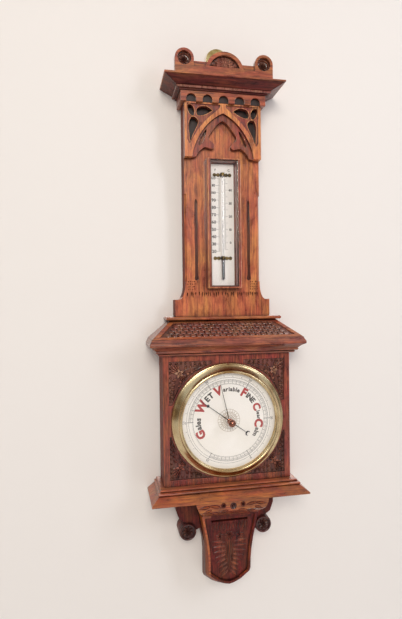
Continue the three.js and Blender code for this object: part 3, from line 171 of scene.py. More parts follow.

# %% [markdown]
# ## Varnished oak
# The case is quarter-sawn oak under brown varnish. To the eye it gives uneven streaks of growth rings
# about 4 mm apart, clouds of redder and yellower wood, fine fibres, short dark pores, pale ray flecks
# across the grain, old stain in the corners, and a glossy clear coat. The real fibres are
# 0.3 mm wide, which is too fine to show at this size, so they are drawn 1.2 mm wide. Ambient
# Occlusion darkens every corner, recess and piercing, whatever the piece's shape: partly old stain,
# and partly painted shade for the shadow that falls there.

# %% Write the recipe for oak
def varnished_oak(name, pale, middle, dark, stain_and_shade_colour, grain="Z", shade_and_stain_depth=0.85, reach=7.0, gloss=0.3, coat=0.4,
                  worn=0.85, mirror=0.5):
    """Oak with its grain along one axis. Reach is how far, in mm, the corner darkening spreads, and
    worn is how open a place has to be, from 0 to 1, before it is left free of it. The corner darkening
    is partly old stain and partly painted shade. Mirror is the share of its reflection: sides that
    nobody polishes have less."""
    material, tree, place = new_finish(name)

    def stretched(across, along, detail, distortion=0.0, rough=0.5):
        """Noise whose patches are this many mm across and along the grain."""
        sizes = [1 / (across * MM)] * 3
        sizes["XYZ".index(grain)] = 1 / (along * MM)
        turned_place = put(tree, "Mapping", {"Vector": place, "Scale": sizes}).outputs["Vector"]
        return put(tree, "TexNoise", {"Vector": turned_place, "Scale": 1.0, "Detail": detail,
                                      "Distortion": distortion, "Roughness": rough}).outputs["Fac"]

    rings = stretched(4.2, 120, 5.0, 0.9, 0.6)
    fibres = stretched(1.2, 42, 4.0)
    pores = stretched(0.9, 10, 1.0)
    flecks = stretched(9, 3.5, 2.0, 1.5)
    cloud = stretched(16, 48, 3.0, 1.2, 0.6)
    redness = stretched(30, 90, 2.0, 0.8)
    streak = put(tree, "Math", {0: rings, 1: 0.4}, operation="MULTIPLY").outputs[0]
    figure = put(tree, "Math", {0: fibres, 1: 0.28, 2: streak}, operation="MULTIPLY_ADD").outputs[0]
    figure = put(tree, "Math", {0: cloud, 1: 0.32, 2: figure}, operation="MULTIPLY_ADD").outputs[0]
    wood = put(tree, "ValToRGB", {"Fac": figure}, stops=[
        (0.41, light_of(dark)), (0.5, light_of(middle)), (0.59, light_of(pale))]).outputs["Color"]
    red = put(tree, "MapRange", {"Value": redness, "From Min": 0.35, "From Max": 0.65, "To Min": 0.485,
                                 "To Max": 0.505}).outputs["Result"]
    wood = put(tree, "HueSaturation", {"Hue": red, "Color": wood}).outputs["Color"]
    fleck = put(tree, "ValToRGB", {"Fac": flecks}, stops=[(0.6, grey(0)), (0.72, grey(0.24))]).outputs["Color"]
    wood = put(tree, "Mix", {0: fleck, 6: wood, 7: light_of(pale)}, data_type="RGBA").outputs[2]
    pore = put(tree, "ValToRGB", {"Fac": pores}, stops=[(0.3, grey(0.5)), (0.4, grey(0))]).outputs["Color"]
    wood = put(tree, "Mix", {0: pore, 6: wood, 7: light_of(stain_and_shade_colour)}, data_type="RGBA").outputs[2]
    # Painted shade: Ambient Occlusion darkens corners, recesses and piercings toward the stain colour, partly
    # old stain and partly the shadow that falls there.
    corner = put(tree, "AmbientOcclusion", {"Distance": reach * MM}, samples=6).outputs["AO"]
    held = put(tree, "ValToRGB", {"Fac": corner}, stops=[
        (worn - 0.5, grey(shade_and_stain_depth)), (worn, grey(0))]).outputs["Color"]
    colour = put(tree, "Mix", {0: held, 6: wood, 7: light_of(stain_and_shade_colour)}, data_type="RGBA").outputs[2]
    shine = put(tree, "MapRange", {"Value": cloud, "From Min": 0.3, "From Max": 0.7, "To Min": gloss - 0.05,
                                   "To Max": gloss + 0.12}).outputs["Result"]
    height = put(tree, "Math", {0: fibres, 1: pore}, operation="SUBTRACT").outputs[0]
    relief = put(tree, "Bump", {"Height": height, "Strength": 0.35, "Distance": 0.25 * MM}).outputs["Normal"]
    shader = put(tree, "BsdfPrincipled", {"Base Color": colour, "Roughness": shine, "IOR": 1.45,
                                          "Coat Weight": coat, "Coat Roughness": 0.1, "Normal": relief,
                                          "Specular IOR Level": mirror})
    put(tree, "OutputMaterial", {"Surface": shader.outputs["BSDF"]})
    return material


print("the oak recipe takes a name, four colours and a few settings")

# %% [markdown]
# ## A finish for each board and carving
# The same varnish looks different from place to place. The neck and the arch are orange brown. The
# case below is redder, and the cornice and the console are nearly black, partly as painted shade. The
# sides, which nobody polishes, are dull, and darker as painted shade. Carved work holds dark stain in
# its gaps, partly painted shade, and is pale on its tips, partly wear and partly painted highlight. So
# each finish is the same recipe with its own colours, from the palest wood to the stain.

# %% Mix the finishes of the boards
oak_upright = varnished_oak("oak_upright_grain", "#d28348", "#ad6339", "#7a4128", "#240f0c")
arch_oak = varnished_oak("oak_arch_and_frame", "#e2944f", "#be7240", "#88502f", "#240f0c")
# Partly painted highlight: a pale finish for rounded edges that look forward, where light catches them.
worn_edge_highlight_oak = varnished_oak("oak_worn_edges_painted_highlight", "#e6a674", "#c6855a", "#93593c", "#2a120e", shade_and_stain_depth=0.6, reach=1.5,
                         gloss=0.22)
oak_across = varnished_oak("oak_level_grain", "#bb6e3e", "#985432", "#6a3823", "#240f0c", grain="X")
oak_base = varnished_oak("oak_base_board", "#b8692f", "#974f28", "#6c381f", "#240f0c", grain="X")
oak_deep = varnished_oak("oak_level_grain_deep", "#a8623e", "#824530", "#582c21", "#1a0b0a", grain="X")
case_oak = varnished_oak("oak_case_red_brown", "#a75538", "#82402c", "#572820", "#1b0b0a")
# Painted shade: the side faces of the case, the front board and the neck are painted darker than the fronts.
dull_side_shade_oak = varnished_oak("oak_dull_sides_painted_shade", "#96503a", "#743a2b", "#4e251d", "#1b0b0a", coat=0.02, gloss=0.5,
                         mirror=0.1)
# Partly painted shade: the cornice, whose big face looks down, is painted nearly black.
dark_across_and_shade_oak = varnished_oak("dark_oak_level_grain_painted_shade", "#7c3d2a", "#5b2a20", "#3b1915", "#100706", grain="X",
                            coat=0.1, mirror=0.25)
dark_upright = varnished_oak("dark_oak_upright_grain", "#62332a", "#45211b", "#2d1412", "#0f0606", coat=0.25)
# Painted light: an orange finish for the console's side faces, as if lit.
lit_rim_oak = varnished_oak("oak_console_rim_painted_light", "#bd6a35", "#96502c", "#683720", "#240f0c", coat=0.02, gloss=0.5,
                        mirror=0.05)
# Partly painted shade: the console, its tail board and the apron's outlines are painted darker, because less
# light falls low down.
console_dark_and_shade_oak = varnished_oak("oak_console_dark_red_painted_shade", "#7c3826", "#5c281e", "#3d1a15", "#120606", shade_and_stain_depth=0.95,
                            reach=5.0, gloss=0.42, coat=0.05, worn=0.95, mirror=0.25)
# Painted shade: the faces inside the neck's grooves are painted darker than the plank.
groove_shade_oak = varnished_oak("oak_in_the_grooves_painted_shade", "#7f4429", "#61301f", "#442016", "#240f0c", shade_and_stain_depth=0.3, coat=0.2)
print(len(bpy.data.materials), "materials so far, with those that came with the frame")

# %% Mix the finishes of the carved work
carved_oak = varnished_oak("oak_carved_and_stained", "#cf957a", "#aa725c", "#7b4b3b", "#1a0b09", shade_and_stain_depth=0.85,
                           reach=1.8, gloss=0.22, worn=0.75)
# Partly painted highlight: the upper flowers' petals are painted nearly cream.
petal_highlight_oak = varnished_oak("oak_petals_painted_highlight", "#efd0b2", "#cfa182", "#986852", "#1a0b09", shade_and_stain_depth=0.8, reach=1.8,
                          gloss=0.18, worn=0.7)
corner_oak = varnished_oak("oak_sunk_corners", "#8a5848", "#6d4337", "#4c2c26", "#0f0606", shade_and_stain_depth=0.95, reach=2.5,
                           coat=0.3)
# Painted shade: the lower corners' sunk fields are painted darker than the upper ones.
low_corner_shade_oak = varnished_oak("oak_sunk_low_corners_painted_shade", "#734638", "#58342b", "#3c211d", "#0f0606", shade_and_stain_depth=0.95,
                               reach=2.5, gloss=0.35, coat=0.2, mirror=0.4)
# Painted light: darker than the carving above, as painted shade on the lower corners, and paler than the
# cornice, as a painted highlight on its bead.
low_shade_and_bead_highlight_oak = varnished_oak("oak_low_carving_shade_and_bead_highlight", "#a87059", "#855242", "#5b352b", "#140807", shade_and_stain_depth=0.9,
                               reach=2.0, gloss=0.26, worn=0.8)
# Partly painted shade: dark stain and shade for the gaps round carved leaves; the ear flowers take it as their
# own dark colour.
dark_carving_stain_and_shade = varnished_oak("oak_carved_stain_and_painted_shade_dark", "#7c4c3a", "#5a3327", "#3a1d18", "#0a0404",
                             shade_and_stain_depth=0.97, reach=3.5, gloss=0.34, coat=0.15, worn=0.95, mirror=0.35)
roof_oak = varnished_oak("oak_roof_scales", "#a06a52", "#784836", "#502c22", "#1a0b09", shade_and_stain_depth=0.92, reach=3.0,
                         worn=0.9)
field_oak = varnished_oak("oak_sunk_field", "#77442f", "#5a3025", "#3c2019", "#140807", shade_and_stain_depth=0.95, reach=5.0,
                          gloss=0.35, coat=0.3)
apron_oak = varnished_oak("oak_apron_carving", "#b66932", "#934d29", "#66351f", "#1c0b08", grain="X", shade_and_stain_depth=0.9,
                          reach=2.0, worn=0.8)
spray_oak = varnished_oak("oak_console_leaves", "#9c4c30", "#783726", "#4d231b", "#120606", shade_and_stain_depth=0.97,
                          reach=3.0, gloss=0.5, coat=0.05, worn=0.95)
# Painted shade: a near-black finish for boards that stand where only shadow would be.
shade_board_oak = varnished_oak("oak_painted_shade_board", "#341a15", "#26120f", "#190b0a", "#080303", shade_and_stain_depth=0.9,
                           coat=0.15, gloss=0.42)
print(len(bpy.data.materials), "materials with the carved ones")

# %% [markdown]
# ## Metal, porcelain, glass and ink
# The bezel and the plate are spun and cut brass under clear lacquer, the hand is steel heated until
# it turned blue, and the knob is a copper alloy. A metal's colour is the tint of its reflection, and
# fine turning or brushing shows as roughness that changes in thin lines. The dial is glazed
# porcelain, the thermometer's scale is milk glass, and both hold their printing under the glaze.
# Window glass mirrors about four parts in a hundred, more at a slant, and lets the rest through, so
# it is a clear shader with a mirror laid over it by the slant of the surface. A clear shader also
# lets the lamps reach the dial, which a refracting one would leave in the dark.

# %% Make the metals
def metal(name, bright, dull, roughness, line=0.6, tarnish=0.5, spun=False, patch=14):
    """A metal with fine working lines and a little tarnish where hands and dusters don't reach. A spun
    one has its lines round the dial's axis, as the tool left them. Patch is the size of its clouds in mm."""
    material, tree, place = new_finish(name)
    along = place
    if spun:
        flat = put(tree, "VectorMath", {0: place, 1: (1, 0, 1)}, operation="MULTIPLY").outputs[0]
        radius = put(tree, "VectorMath", {0: flat}, operation="LENGTH").outputs["Value"]
        along = put(tree, "CombineXYZ", {"X": radius}).outputs["Vector"]
    lines = put(tree, "TexNoise", {"Vector": along, "Scale": 1 / (line * MM), "Detail": 2.0})
    cloud = put(tree, "TexNoise", {"Vector": place, "Scale": 1 / (patch * MM), "Detail": 4.0})
    corner = put(tree, "AmbientOcclusion", {"Distance": 3 * MM}, samples=6)
    held = put(tree, "Math", {0: cloud.outputs["Fac"], 1: corner.outputs["AO"]}, operation="MULTIPLY")
    colour = put(tree, "ValToRGB", {"Fac": held.outputs[0]}, stops=[
        (0.5 - tarnish / 2, light_of(dull)), (0.62, light_of(bright))])
    shine = put(tree, "MapRange", {"Value": lines.outputs["Fac"], "From Min": 0.3, "From Max": 0.7,
                                   "To Min": roughness * 0.85, "To Max": roughness * 1.2})
    relief = put(tree, "Bump", {"Height": lines.outputs["Fac"], "Strength": 0.03, "Distance": 0.03 * MM})
    shader = put(tree, "BsdfPrincipled", {"Base Color": colour.outputs["Color"], "Metallic": 1.0,
                                          "Roughness": shine.outputs["Result"],
                                          "Normal": relief.outputs["Normal"]})
    put(tree, "OutputMaterial", {"Surface": shader.outputs["BSDF"]})
    return material


brass = metal("brass_lacquered", "#ead59a", "#b39559", 0.22, tarnish=0.35)
bezel_brass = metal("brass_spun_and_polished", "#ecd9ad", "#a98556", 0.24, line=0.8, tarnish=0.35, spun=True,
                    patch=45)
old_brass = metal("brass_darkened", "#8f7644", "#352b1a", 0.3, tarnish=0.3)
steel = metal("steel_brushed", "#b6b8bc", "#7c7f86", 0.3)
blued_steel = metal("steel_heat_blued", "#3a4258", "#20242f", 0.22)
copper = metal("copper_alloy_polished", "#ab7866", "#71463a", 0.2)
quicksilver = metal("mercury", "#c3c5c9", "#8e9197", 0.22, tarnish=0.2)
print("metals:", brass.name, bezel_brass.name, old_brass.name, steel.name, blued_steel.name, copper.name)

# %% Make the porcelain, the milk glass and the inks
def glaze(name, body, shade, roughness=0.12, patch=25.0):
    """A fired or printed surface: nearly even colour, with soft uneven patches under the gloss."""
    material, tree, place = new_finish(name)
    cloud = put(tree, "TexNoise", {"Vector": place, "Scale": 1 / (patch * MM), "Detail": 3.0})
    specks = put(tree, "TexNoise", {"Vector": place, "Scale": 1 / (1.5 * MM), "Detail": 2.0})
    colour = put(tree, "ValToRGB", {"Fac": cloud.outputs["Fac"]}, stops=[
        (0.35, light_of(shade)), (0.6, light_of(body))])
    shine = put(tree, "MapRange", {"Value": specks.outputs["Fac"], "From Min": 0.3, "From Max": 0.7,
                                   "To Min": roughness * 0.8, "To Max": roughness * 1.4})
    relief = put(tree, "Bump", {"Height": specks.outputs["Fac"], "Strength": 0.05, "Distance": 0.05 * MM})
    shader = put(tree, "BsdfPrincipled", {"Base Color": colour.outputs["Color"], "IOR": 1.5,
                                          "Roughness": shine.outputs["Result"],
                                          "Normal": relief.outputs["Normal"]})
    put(tree, "OutputMaterial", {"Surface": shader.outputs["BSDF"]})
    return material


porcelain = glaze("porcelain_glazed", "#f8f5f0", "#f2eee7", patch=60.0)
milk_glass = glaze("milk_glass", "#fdfaf6", "#f8f5f0", patch=60.0)
white_enamel = glaze("enamel_white_in_the_tube", "#fffefc", "#faf8f6")
black_ink = glaze("ink_black", "#3b3634", "#2c2827", 0.4, 3)
red_ink = glaze("ink_red", "#b8403f", "#a02d30", 0.4, 3)
grey_ink = glaze("ink_grey", "#6c6a6a", "#565454", 0.4, 3)
pale_ink = glaze("ink_pale", "#ac9a84", "#97856f", 0.4, 3)
print("glazes:", porcelain.name, milk_glass.name, white_enamel.name, "and four inks")


# %% Make the clear glass
def window(name, waves):
    """Clear glass: a mirror of 4 parts in 100, and more at a slant, over a clear shader. Waves is how
    uneven the sheet is."""
    material, tree, place = new_finish(name)
    swell = put(tree, "TexNoise", {"Vector": place, "Scale": 1 / (30 * MM), "Detail": 1.0})
    relief = put(tree, "Bump", {"Height": swell.outputs["Fac"], "Strength": waves, "Distance": 0.2 * MM})
    clear = put(tree, "BsdfTransparent", {"Color": light_of("#ffffff")})
    mirror = put(tree, "BsdfGlossy", {"Color": light_of("#ffffff"), "Roughness": 0.02,
                                      "Normal": relief.outputs["Normal"]})
    facing = put(tree, "LayerWeight", {"Blend": 0.5}).outputs["Facing"]
    slant = put(tree, "Math", {0: facing, 1: 5.0}, operation="POWER")
    share = put(tree, "Math", {0: slant.outputs[0], 1: 0.96, 2: 0.04}, operation="MULTIPLY_ADD")
    mixed = put(tree, "MixShader", {0: share.outputs[0], 1: clear.outputs["BSDF"], 2: mirror.outputs["BSDF"]})
    put(tree, "OutputMaterial", {"Surface": mixed.outputs["Shader"]})
    return material


dial_glass = window("glass_of_the_dial", 0.1)
tube_glass = window("glass_of_the_thermometer", 0.0)
print("panes:", dial_glass.name, "and", tube_glass.name)

# %% [markdown]
# ## The studio
# The barometer hangs on a plain pale wall over a plain pale floor, under soft lamps. The wall is one
# plane just behind the case, so it takes the soft shadow that hanging things throw. A real wall would
# also hide the back of the barometer from anyone behind it, so its back is see-through, and it
# doesn't hold light off the piece's back: only rays that look at its front meet it. The floor is
# see-through from below for the same reason. The room is brighter overhead than at the sides, which
# gives the brass its light and dark bands, and what the camera sees of it is an even pale grey.

# %% Build the wall and the floor
def plain_paint(name, code, casts_light=True):
    """Flat wall paint with a fine roller texture, that shows from its front side alone. Paint that casts
    no light is there only for the eye and for reflections."""
    material, tree, place = new_finish(name)
    nap = put(tree, "TexNoise", {"Vector": place, "Scale": 1 / (3 * MM), "Detail": 2.0})
    relief = put(tree, "Bump", {"Height": nap.outputs["Fac"], "Strength": 0.05, "Distance": 0.2 * MM})
    paint = put(tree, "BsdfDiffuse", {"Color": light_of(code), "Normal": relief.outputs["Normal"]})
    path = put(tree, "LightPath").outputs
    seen = put(tree, "Math", {0: path["Is Camera Ray"], 1: path["Is Glossy Ray"]}, operation="ADD")
    seen = put(tree, "Math", {0: seen.outputs[0], 1: path["Is Transmission Ray"]}, operation="ADD",
               use_clamp=True)
    share = 1.0 if casts_light else seen.outputs[0]
    behind = put(tree, "NewGeometry").outputs["Backfacing"]
    front = put(tree, "Math", {0: share, 1: behind}, operation="SUBTRACT", use_clamp=True)
    clear = put(tree, "BsdfTransparent")
    surface = put(tree, "MixShader", {0: front.outputs[0], 1: clear.outputs["BSDF"], 2: paint.outputs["BSDF"]})
    put(tree, "OutputMaterial", {"Surface": surface.outputs["Shader"]})
    return material


WALL_GAP = 1.5 * MM
FLOOR_LEVEL = -0.62
let_go()
bpy.ops.mesh.primitive_plane_add(size=6, location=(0, WALL_GAP, 0.4), rotation=(math.pi / 2, 0, 0))
wall = bpy.context.object
wall.name = "wall"
wall.data.materials.append(plain_paint("paint_on_the_wall", "#ebe7e4", casts_light=False))
let_go()
bpy.ops.mesh.primitive_plane_add(size=9, location=(0, 0, FLOOR_LEVEL))
floor = bpy.context.object
floor.name = "floor"
floor.data.materials.append(plain_paint("paint_on_the_floor", "#cfcbc7"))
print("wall and floor of", wall.dimensions.x, "and", floor.dimensions.x, "metres")

# %% Light the room and hang the lamps
world = bpy.data.worlds.new("studio")
bpy.context.scene.world = world
world.use_nodes = True
sky = world.node_tree
way = put(sky, "SeparateXYZ", {"Vector": put(sky, "TexCoord").outputs["Generated"]}).outputs["Z"]
glow = put(sky, "MapRange", {"Value": way, "From Min": 0.0, "From Max": 0.75, "To Min": 0.26, "To Max": 0.62})
sky.nodes["Background"].inputs["Color"].default_value = light_of("#f2f2f4")
seen = put(sky, "LightPath").outputs["Is Camera Ray"]
glow = put(sky, "Mix", {0: seen, 2: glow.outputs["Result"], 3: 0.8})
sky.links.new(glow.outputs[0], sky.nodes["Background"].inputs["Strength"])


AIM = Vector((0, 0, 0.2))


def soft_lamp(name, place, size, power, code):
    """A soft box that looks from its place at the middle of the piece. Its power is in watts."""
    lamp_data = bpy.data.lights.new(name, "AREA")
    lamp_data.shape = "RECTANGLE"
    lamp_data.size, lamp_data.size_y = size
    lamp_data.energy = power
    lamp_data.color = light_of(code)[:3]
    lamp = bpy.data.objects.new(name, lamp_data)
    bpy.context.collection.objects.link(lamp)
    lamp.location = place
    lamp.rotation_euler = (AIM - Vector(place)).to_track_quat("-Z", "Y").to_euler()


soft_lamp("lamp_key", (-0.55, -2.8, 1.35), (1.2, 1.2), 50, "#fff6ea")
soft_lamp("lamp_right", (1.6, -1.7, 1.2), (0.5, 1.2), 13, "#f2f4ff")
soft_lamp("lamp_rear", (0.6, 1.9, 1.4), (1.2, 1.2), 52, "#ffffff")
print(len(bpy.data.lights), "lamps")

# %% [markdown]
# ## Boards and mouldings
# Each board and moulding already has its exact form in the CAD model, but with knife-sharp corners.
# Real corners are eased with sandpaper and worn by dusters, and they catch the light. So each is
# copied, its loose triangles are merged into whole faces, and a narrow bevel rounds its corners. The
# copy stands for the CAD node, which stays where it is for the motion. Some pieces have a second,
# paler finish on the edges that look forward and on the cornice's bead: partly wear, and partly a
# painted highlight where the light catches them.

# %% Copy, round and settle a piece
def copied(node):
    """A copy of a CAD node, its loose triangles merged into whole faces."""
    piece = bpy.data.objects.new(node + "_worked", nodes[node].data.copy())
    bpy.context.collection.objects.link(piece)
    hold(piece)
    bpy.ops.mesh.customdata_custom_splitnormals_clear()
    bpy.ops.object.mode_set(mode="EDIT")
    bpy.ops.mesh.select_all(action="SELECT")
    bpy.ops.mesh.remove_doubles(threshold=0.02 * MM)
    bpy.ops.mesh.dissolve_limited(angle_limit=math.radians(0.5))
    bpy.ops.object.mode_set(mode="OBJECT")
    return piece


def round_off(piece, width):
    """Round every edge that is sharper than 24 degrees."""
    hold(piece)
    bevel = piece.modifiers.new("rounding", "BEVEL")
    bevel.width, bevel.segments, bevel.angle_limit = width * MM, 2, math.radians(24)
    bpy.ops.object.modifier_apply(modifier=bevel.name)
    return piece


def sort_faces(piece, choose):
    """Give each face the finish whose number choose returns for its middle, in mm, and its normal."""
    for face in piece.data.polygons:
        face.material_index = int(choose(face.center / MM, face.normal))
    return piece


def settle(piece, name, carrier, *materials, smooth=35):
    """Finish a piece: its place goes into its mesh, it gets its finishes, and it rides on the body of its
    carrier. Big flat faces win over the narrow ones beside them when normals are averaged, so that they look
    flat."""
    hold(piece)
    bpy.ops.object.transform_apply(location=True, rotation=True, scale=True)
    bpy.ops.object.shade_smooth_by_angle(angle=math.radians(smooth))
    flat = piece.modifiers.new("flat", "WEIGHTED_NORMAL")
    flat.keep_sharp, flat.weight = True, 100
    bpy.ops.object.modifier_apply(modifier=flat.name)
    piece.name = piece.data.name = name
    kept = [face.material_index for face in piece.data.polygons]
    piece.data.materials.clear()
    for material in materials:
        piece.data.materials.append(material)
    if len(materials) > 1:
        piece.data.polygons.foreach_set("material_index", kept)
    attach(piece, body_of[carrier])
    return piece


def stand_in(piece, name, node, *materials, smooth=35):
    """Settle a piece that takes the place of a CAD node."""
    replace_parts(settle(piece, name, node, *materials, smooth=smooth), node)


def ease(node, width, material):
    """Stand a rounded copy in for a CAD node."""
    stand_in(round_off(copied(node), width), node + "_eased", node, material)


def is_worn(normal):
    """Whether a rounded edge looks forward, where it is made pale: partly wear, and partly a painted highlight.
    """
    return 0.2 < -normal.y < 0.98


print("ready to ease", len(nodes), "pieces")

# %% Ease the plain boards and mouldings
BEAD_FOOT, BEAD_TOP = 703.2, 707.9
boards = [
    ("case_side_left", 1.0, dull_side_shade_oak), ("case_side_right", 1.0, dull_side_shade_oak),
    ("case_top_board", 0.8, oak_across), ("case_bottom_board", 0.8, oak_across),
    ("head_block", 0.8, oak_across), ("frieze_board", 0.7, oak_across),
    ("cornice_top_board", 1.0, oak_across),
    ("crest_board", 0.8, oak_across), ("crest_shell", 0.6, roof_oak),
    ("thin_shelf", 0.8, oak_across), ("roof_panel_left", 0.8, oak_deep),
    ("roof_panel_right", 0.8, oak_deep), ("hood_moulding_front", 0.5, oak_deep),
    ("hood_moulding_left", 0.5, oak_deep), ("hood_moulding_right", 0.5, oak_deep),
    ("base_reeds", 0.4, oak_across), ("base_board", 0.8, oak_base),
    ("tail_board", 1.0, console_dark_and_shade_oak),
]
for node, width, material in boards:
    ease(node, width, material)
# Painted highlight: the rounded edges that look forward get the pale finish, partly wear and partly highlight.
for node in ("thermometer_frame", "cusped_arch"):
    worn = sort_faces(round_off(copied(node), 1.2), lambda middle, normal: is_worn(normal))
    stand_in(worn, node + "_eased", node, case_oak, worn_edge_highlight_oak)
# Painted highlight: the cornice's bead, between these heights, gets a paler finish.
for node in ("cornice_front", "cornice_left", "cornice_right"):
    cornice = sort_faces(round_off(copied(node), 0.6), lambda middle, normal: BEAD_FOOT < middle.z < BEAD_TOP)
    stand_in(cornice, node + "_eased", node, dark_across_and_shade_oak, low_shade_and_bead_highlight_oak)
print(len(boards) + 5, "boards and mouldings eased")

# %% [markdown]
# ## A leaf and a gouge cut
# The carver of a case like this works with a few gouges, and repeats three marks: a raised leaf with
# a sunk vein, a sharp blade with a ridge, and a hollow that one push of a gouge leaves. Each is
# modelled once, as a ball with its poles at the stem and the tip, and is then copied, sized and
# turned wherever it is carved.

# %% Model the leaf, the blade and the gouge cut
def ball(segments, rings):
    """A ball one unit high that stands on the origin."""
    let_go()
    bpy.ops.mesh.primitive_uv_sphere_add(segments=segments, ring_count=rings, radius=0.5, location=(0, 0, 0.5))
    bpy.ops.object.transform_apply(location=True, rotation=True, scale=True)
    return bpy.context.object


def taper(pattern, steps):
    """Narrow a pattern above each height by a share, so that it comes to a point."""
    for height, share in steps:
        pick(pattern, lambda point, normal: point.z > height, "VERT")
        bpy.ops.transform.resize(value=(share, 1, 1))


def flatten_back(pattern):
    """Flatten the half that lies in the wood."""
    pick(pattern, lambda point, normal: point.y > 0.01, "VERT")
    bpy.ops.transform.resize(value=(1, 0, 1), center_override=(0, 0, 0.5))


leaf = ball(12, 9)
taper(leaf, ((0.4, 0.93), (0.55, 0.88), (0.68, 0.82), (0.8, 0.75), (0.9, 0.7)))
pick(leaf, lambda point, normal: abs(point.x) < 0.02 and point.y < -0.02 and 0.05 < point.z < 0.95, "VERT")
bpy.ops.transform.resize(value=(1, 0.5, 1), center_override=(0, 0, 0.5))
flatten_back(leaf)
blade = ball(4, 10)
taper(blade, ((0.35, 0.95), (0.5, 0.88), (0.65, 0.8), (0.78, 0.7), (0.88, 0.6)))
flatten_back(blade)
gouge = ball(10, 8)
pick(gouge, lambda point, normal: point.z < 0.4, "VERT")
bpy.ops.transform.resize(value=(0.7, 0.8, 1), center_override=(0, 0, 0.4))
let_go()
print("leaf", len(leaf.data.polygons), "faces, gouge cut", len(gouge.data.polygons), "faces")

# %% [markdown]
# ## Laying, joining and cutting
# A mark is laid by copying its pattern, which gets its size, turn and place in one step. The marks
# that share a finish are joined into one piece, which rides on the board that it is carved on. Cuts
# are joined into one tool first, so that a board is cut in one go, however many hollows it gets.

# %% Lay marks, join them and cut with them
def laid(pattern, place, width, height, length, turn=0.0, lean=0.0):
    """A copy of a pattern, sized and put in place in mm. Turn is a clock angle in degrees, as seen from
    the front, and lean tips the surface that it lies on."""
    copy = bpy.data.objects.new(pattern.name, pattern.data.copy())
    bpy.context.collection.objects.link(copy)
    x, depth, z = place
    copy.matrix_world = (
        Matrix.Translation(Vector((x, -depth, z)) * MM)
        @ Matrix.Rotation(math.radians(lean), 4, "X") @ Matrix.Rotation(math.radians(turn), 4, "Y")
        @ Matrix.Diagonal((width * MM, height * MM, length * MM, 1)))
    return copy


def joined(copies):
    """Join copies into one piece, their places in its mesh."""
    hold(*copies)
    bpy.ops.object.transform_apply(location=True, rotation=True, scale=True)
    if len(copies) > 1:
        bpy.ops.object.join()
    return bpy.context.object


def gathered(copies, name, carrier, material):
    """Join copies and settle them on what carries them."""
    return settle(joined(copies), name, carrier, material)


def chisel(piece, cuts):
    """Cut these shapes out of a piece."""
    tool = joined(cuts)
    hold(piece)
    cut = piece.modifiers.new("cut", "BOOLEAN")
    cut.object, cut.operation, cut.solver, cut.use_self = tool, "DIFFERENCE", "EXACT", True
    bpy.ops.object.modifier_apply(modifier=cut.name)
    bpy.data.objects.remove(tool)
    return piece


print("marks can be laid, joined and cut")

# %% Saw a flat piece along an outline
def slab(outline, back, front):
    """A flat piece, sawn along an outline of [x, z] points, between two depths in mm."""
    let_go()
    bpy.ops.mesh.primitive_circle_add(vertices=len(outline), radius=1, fill_type="NGON")
    piece = bpy.context.object
    for point, (x, z) in zip(piece.data.vertices, outline):
        point.co = Vector((x, -back, z)) * MM
    pick(piece, lambda middle, normal: True)
    bpy.ops.mesh.extrude_region_move(TRANSFORM_OT_translate={"value": (0, (back - front) * MM, 0)})
    bpy.ops.mesh.select_all(action="SELECT")
    bpy.ops.mesh.normals_make_consistent(inside=False)
    let_go()
    return piece


def oblong(half, foot, top):
    """The outline of an oblong across the dial's upright axis."""
    return [(-half, foot), (half, foot), (half, top), (-half, top)]


print("an oblong has", len(oblong(1, 0, 1)), "corners")

# %% [markdown]
# ## The tracery and the frieze
# Gothic tracery is cut in steps: the big arch stays at the front, the corners beside it are sunk, and
# the leaf shapes are pierced right through the sunk part. The CAD panel has the arch and the
# piercings. A chisel sinks the two corners, and a thin dark board behind makes the piercings as
# dark as the real ones: it is painted shade, standing where only shadow would be. The same is done
# behind the five small arches of the frieze. Round each piercing runs a thin rim, pale partly from
# wear and partly as a painted highlight. It is made from the piercing's own edges: they are copied,
# turned into a curve and given a round section.

# %% Sink the tracery's corners
PANEL_HALF, PANEL_FOOT, PANEL_HEIGHT = 84.6, 563.5, 116.0
PANEL_BACK, PANEL_SUNK, PAST_PANEL = 36.0, 50.0, 54.0
FRIEZE_BED, ARCHES = 52.7, oblong(91.5, 680.2, 699.5)
SUNK_SHARES = [(0.935, 0.975), (0.935, 0.31), (0.875, 0.235), (0.66, 0.5), (0.506, 0.64), (0.36, 0.745),
               (0.2, 0.845), (0.07, 0.93), (0.07, 0.975)]
SHADE_BOARD_SHARES = [(0.98, 0.985), (0.15, 0.985), (0.17, 0.82), (0.35, 0.73), (0.55, 0.57), (0.7, 0.39),
                 (0.8, 0.22), (0.98, 0.2)]


def on_tracery(side, shares):
    """Points of the tracery panel from shares of its half width and its height."""
    return [(side * across * PANEL_HALF, PANEL_FOOT + rise * PANEL_HEIGHT) for across, rise in shares]


tracery = copied("tracery_panel")
chisel(tracery, [slab(on_tracery(side, SUNK_SHARES), PANEL_SUNK, PAST_PANEL) for side in (-1, 1)])
print("tracery sunk to", PANEL_SUNK, "mm from the wall")

# %% Run a rim round each piercing
RIM_RADIUS = 0.8


def rounds_piercing(edge):
    """Whether an edge of the sunk floor is also an edge of a piercing's wall."""
    floors = [face for face in edge.link_faces if face.normal.y < -0.9]
    walls = [face for face in edge.link_faces if abs(face.normal.y) < 0.3]
    deep = any(face.calc_center_median().y > (0.1 - PANEL_SUNK) * MM for face in walls)
    return bool(floors) and deep and abs(edge.verts[0].co.y + PANEL_SUNK * MM) < 0.1 * MM


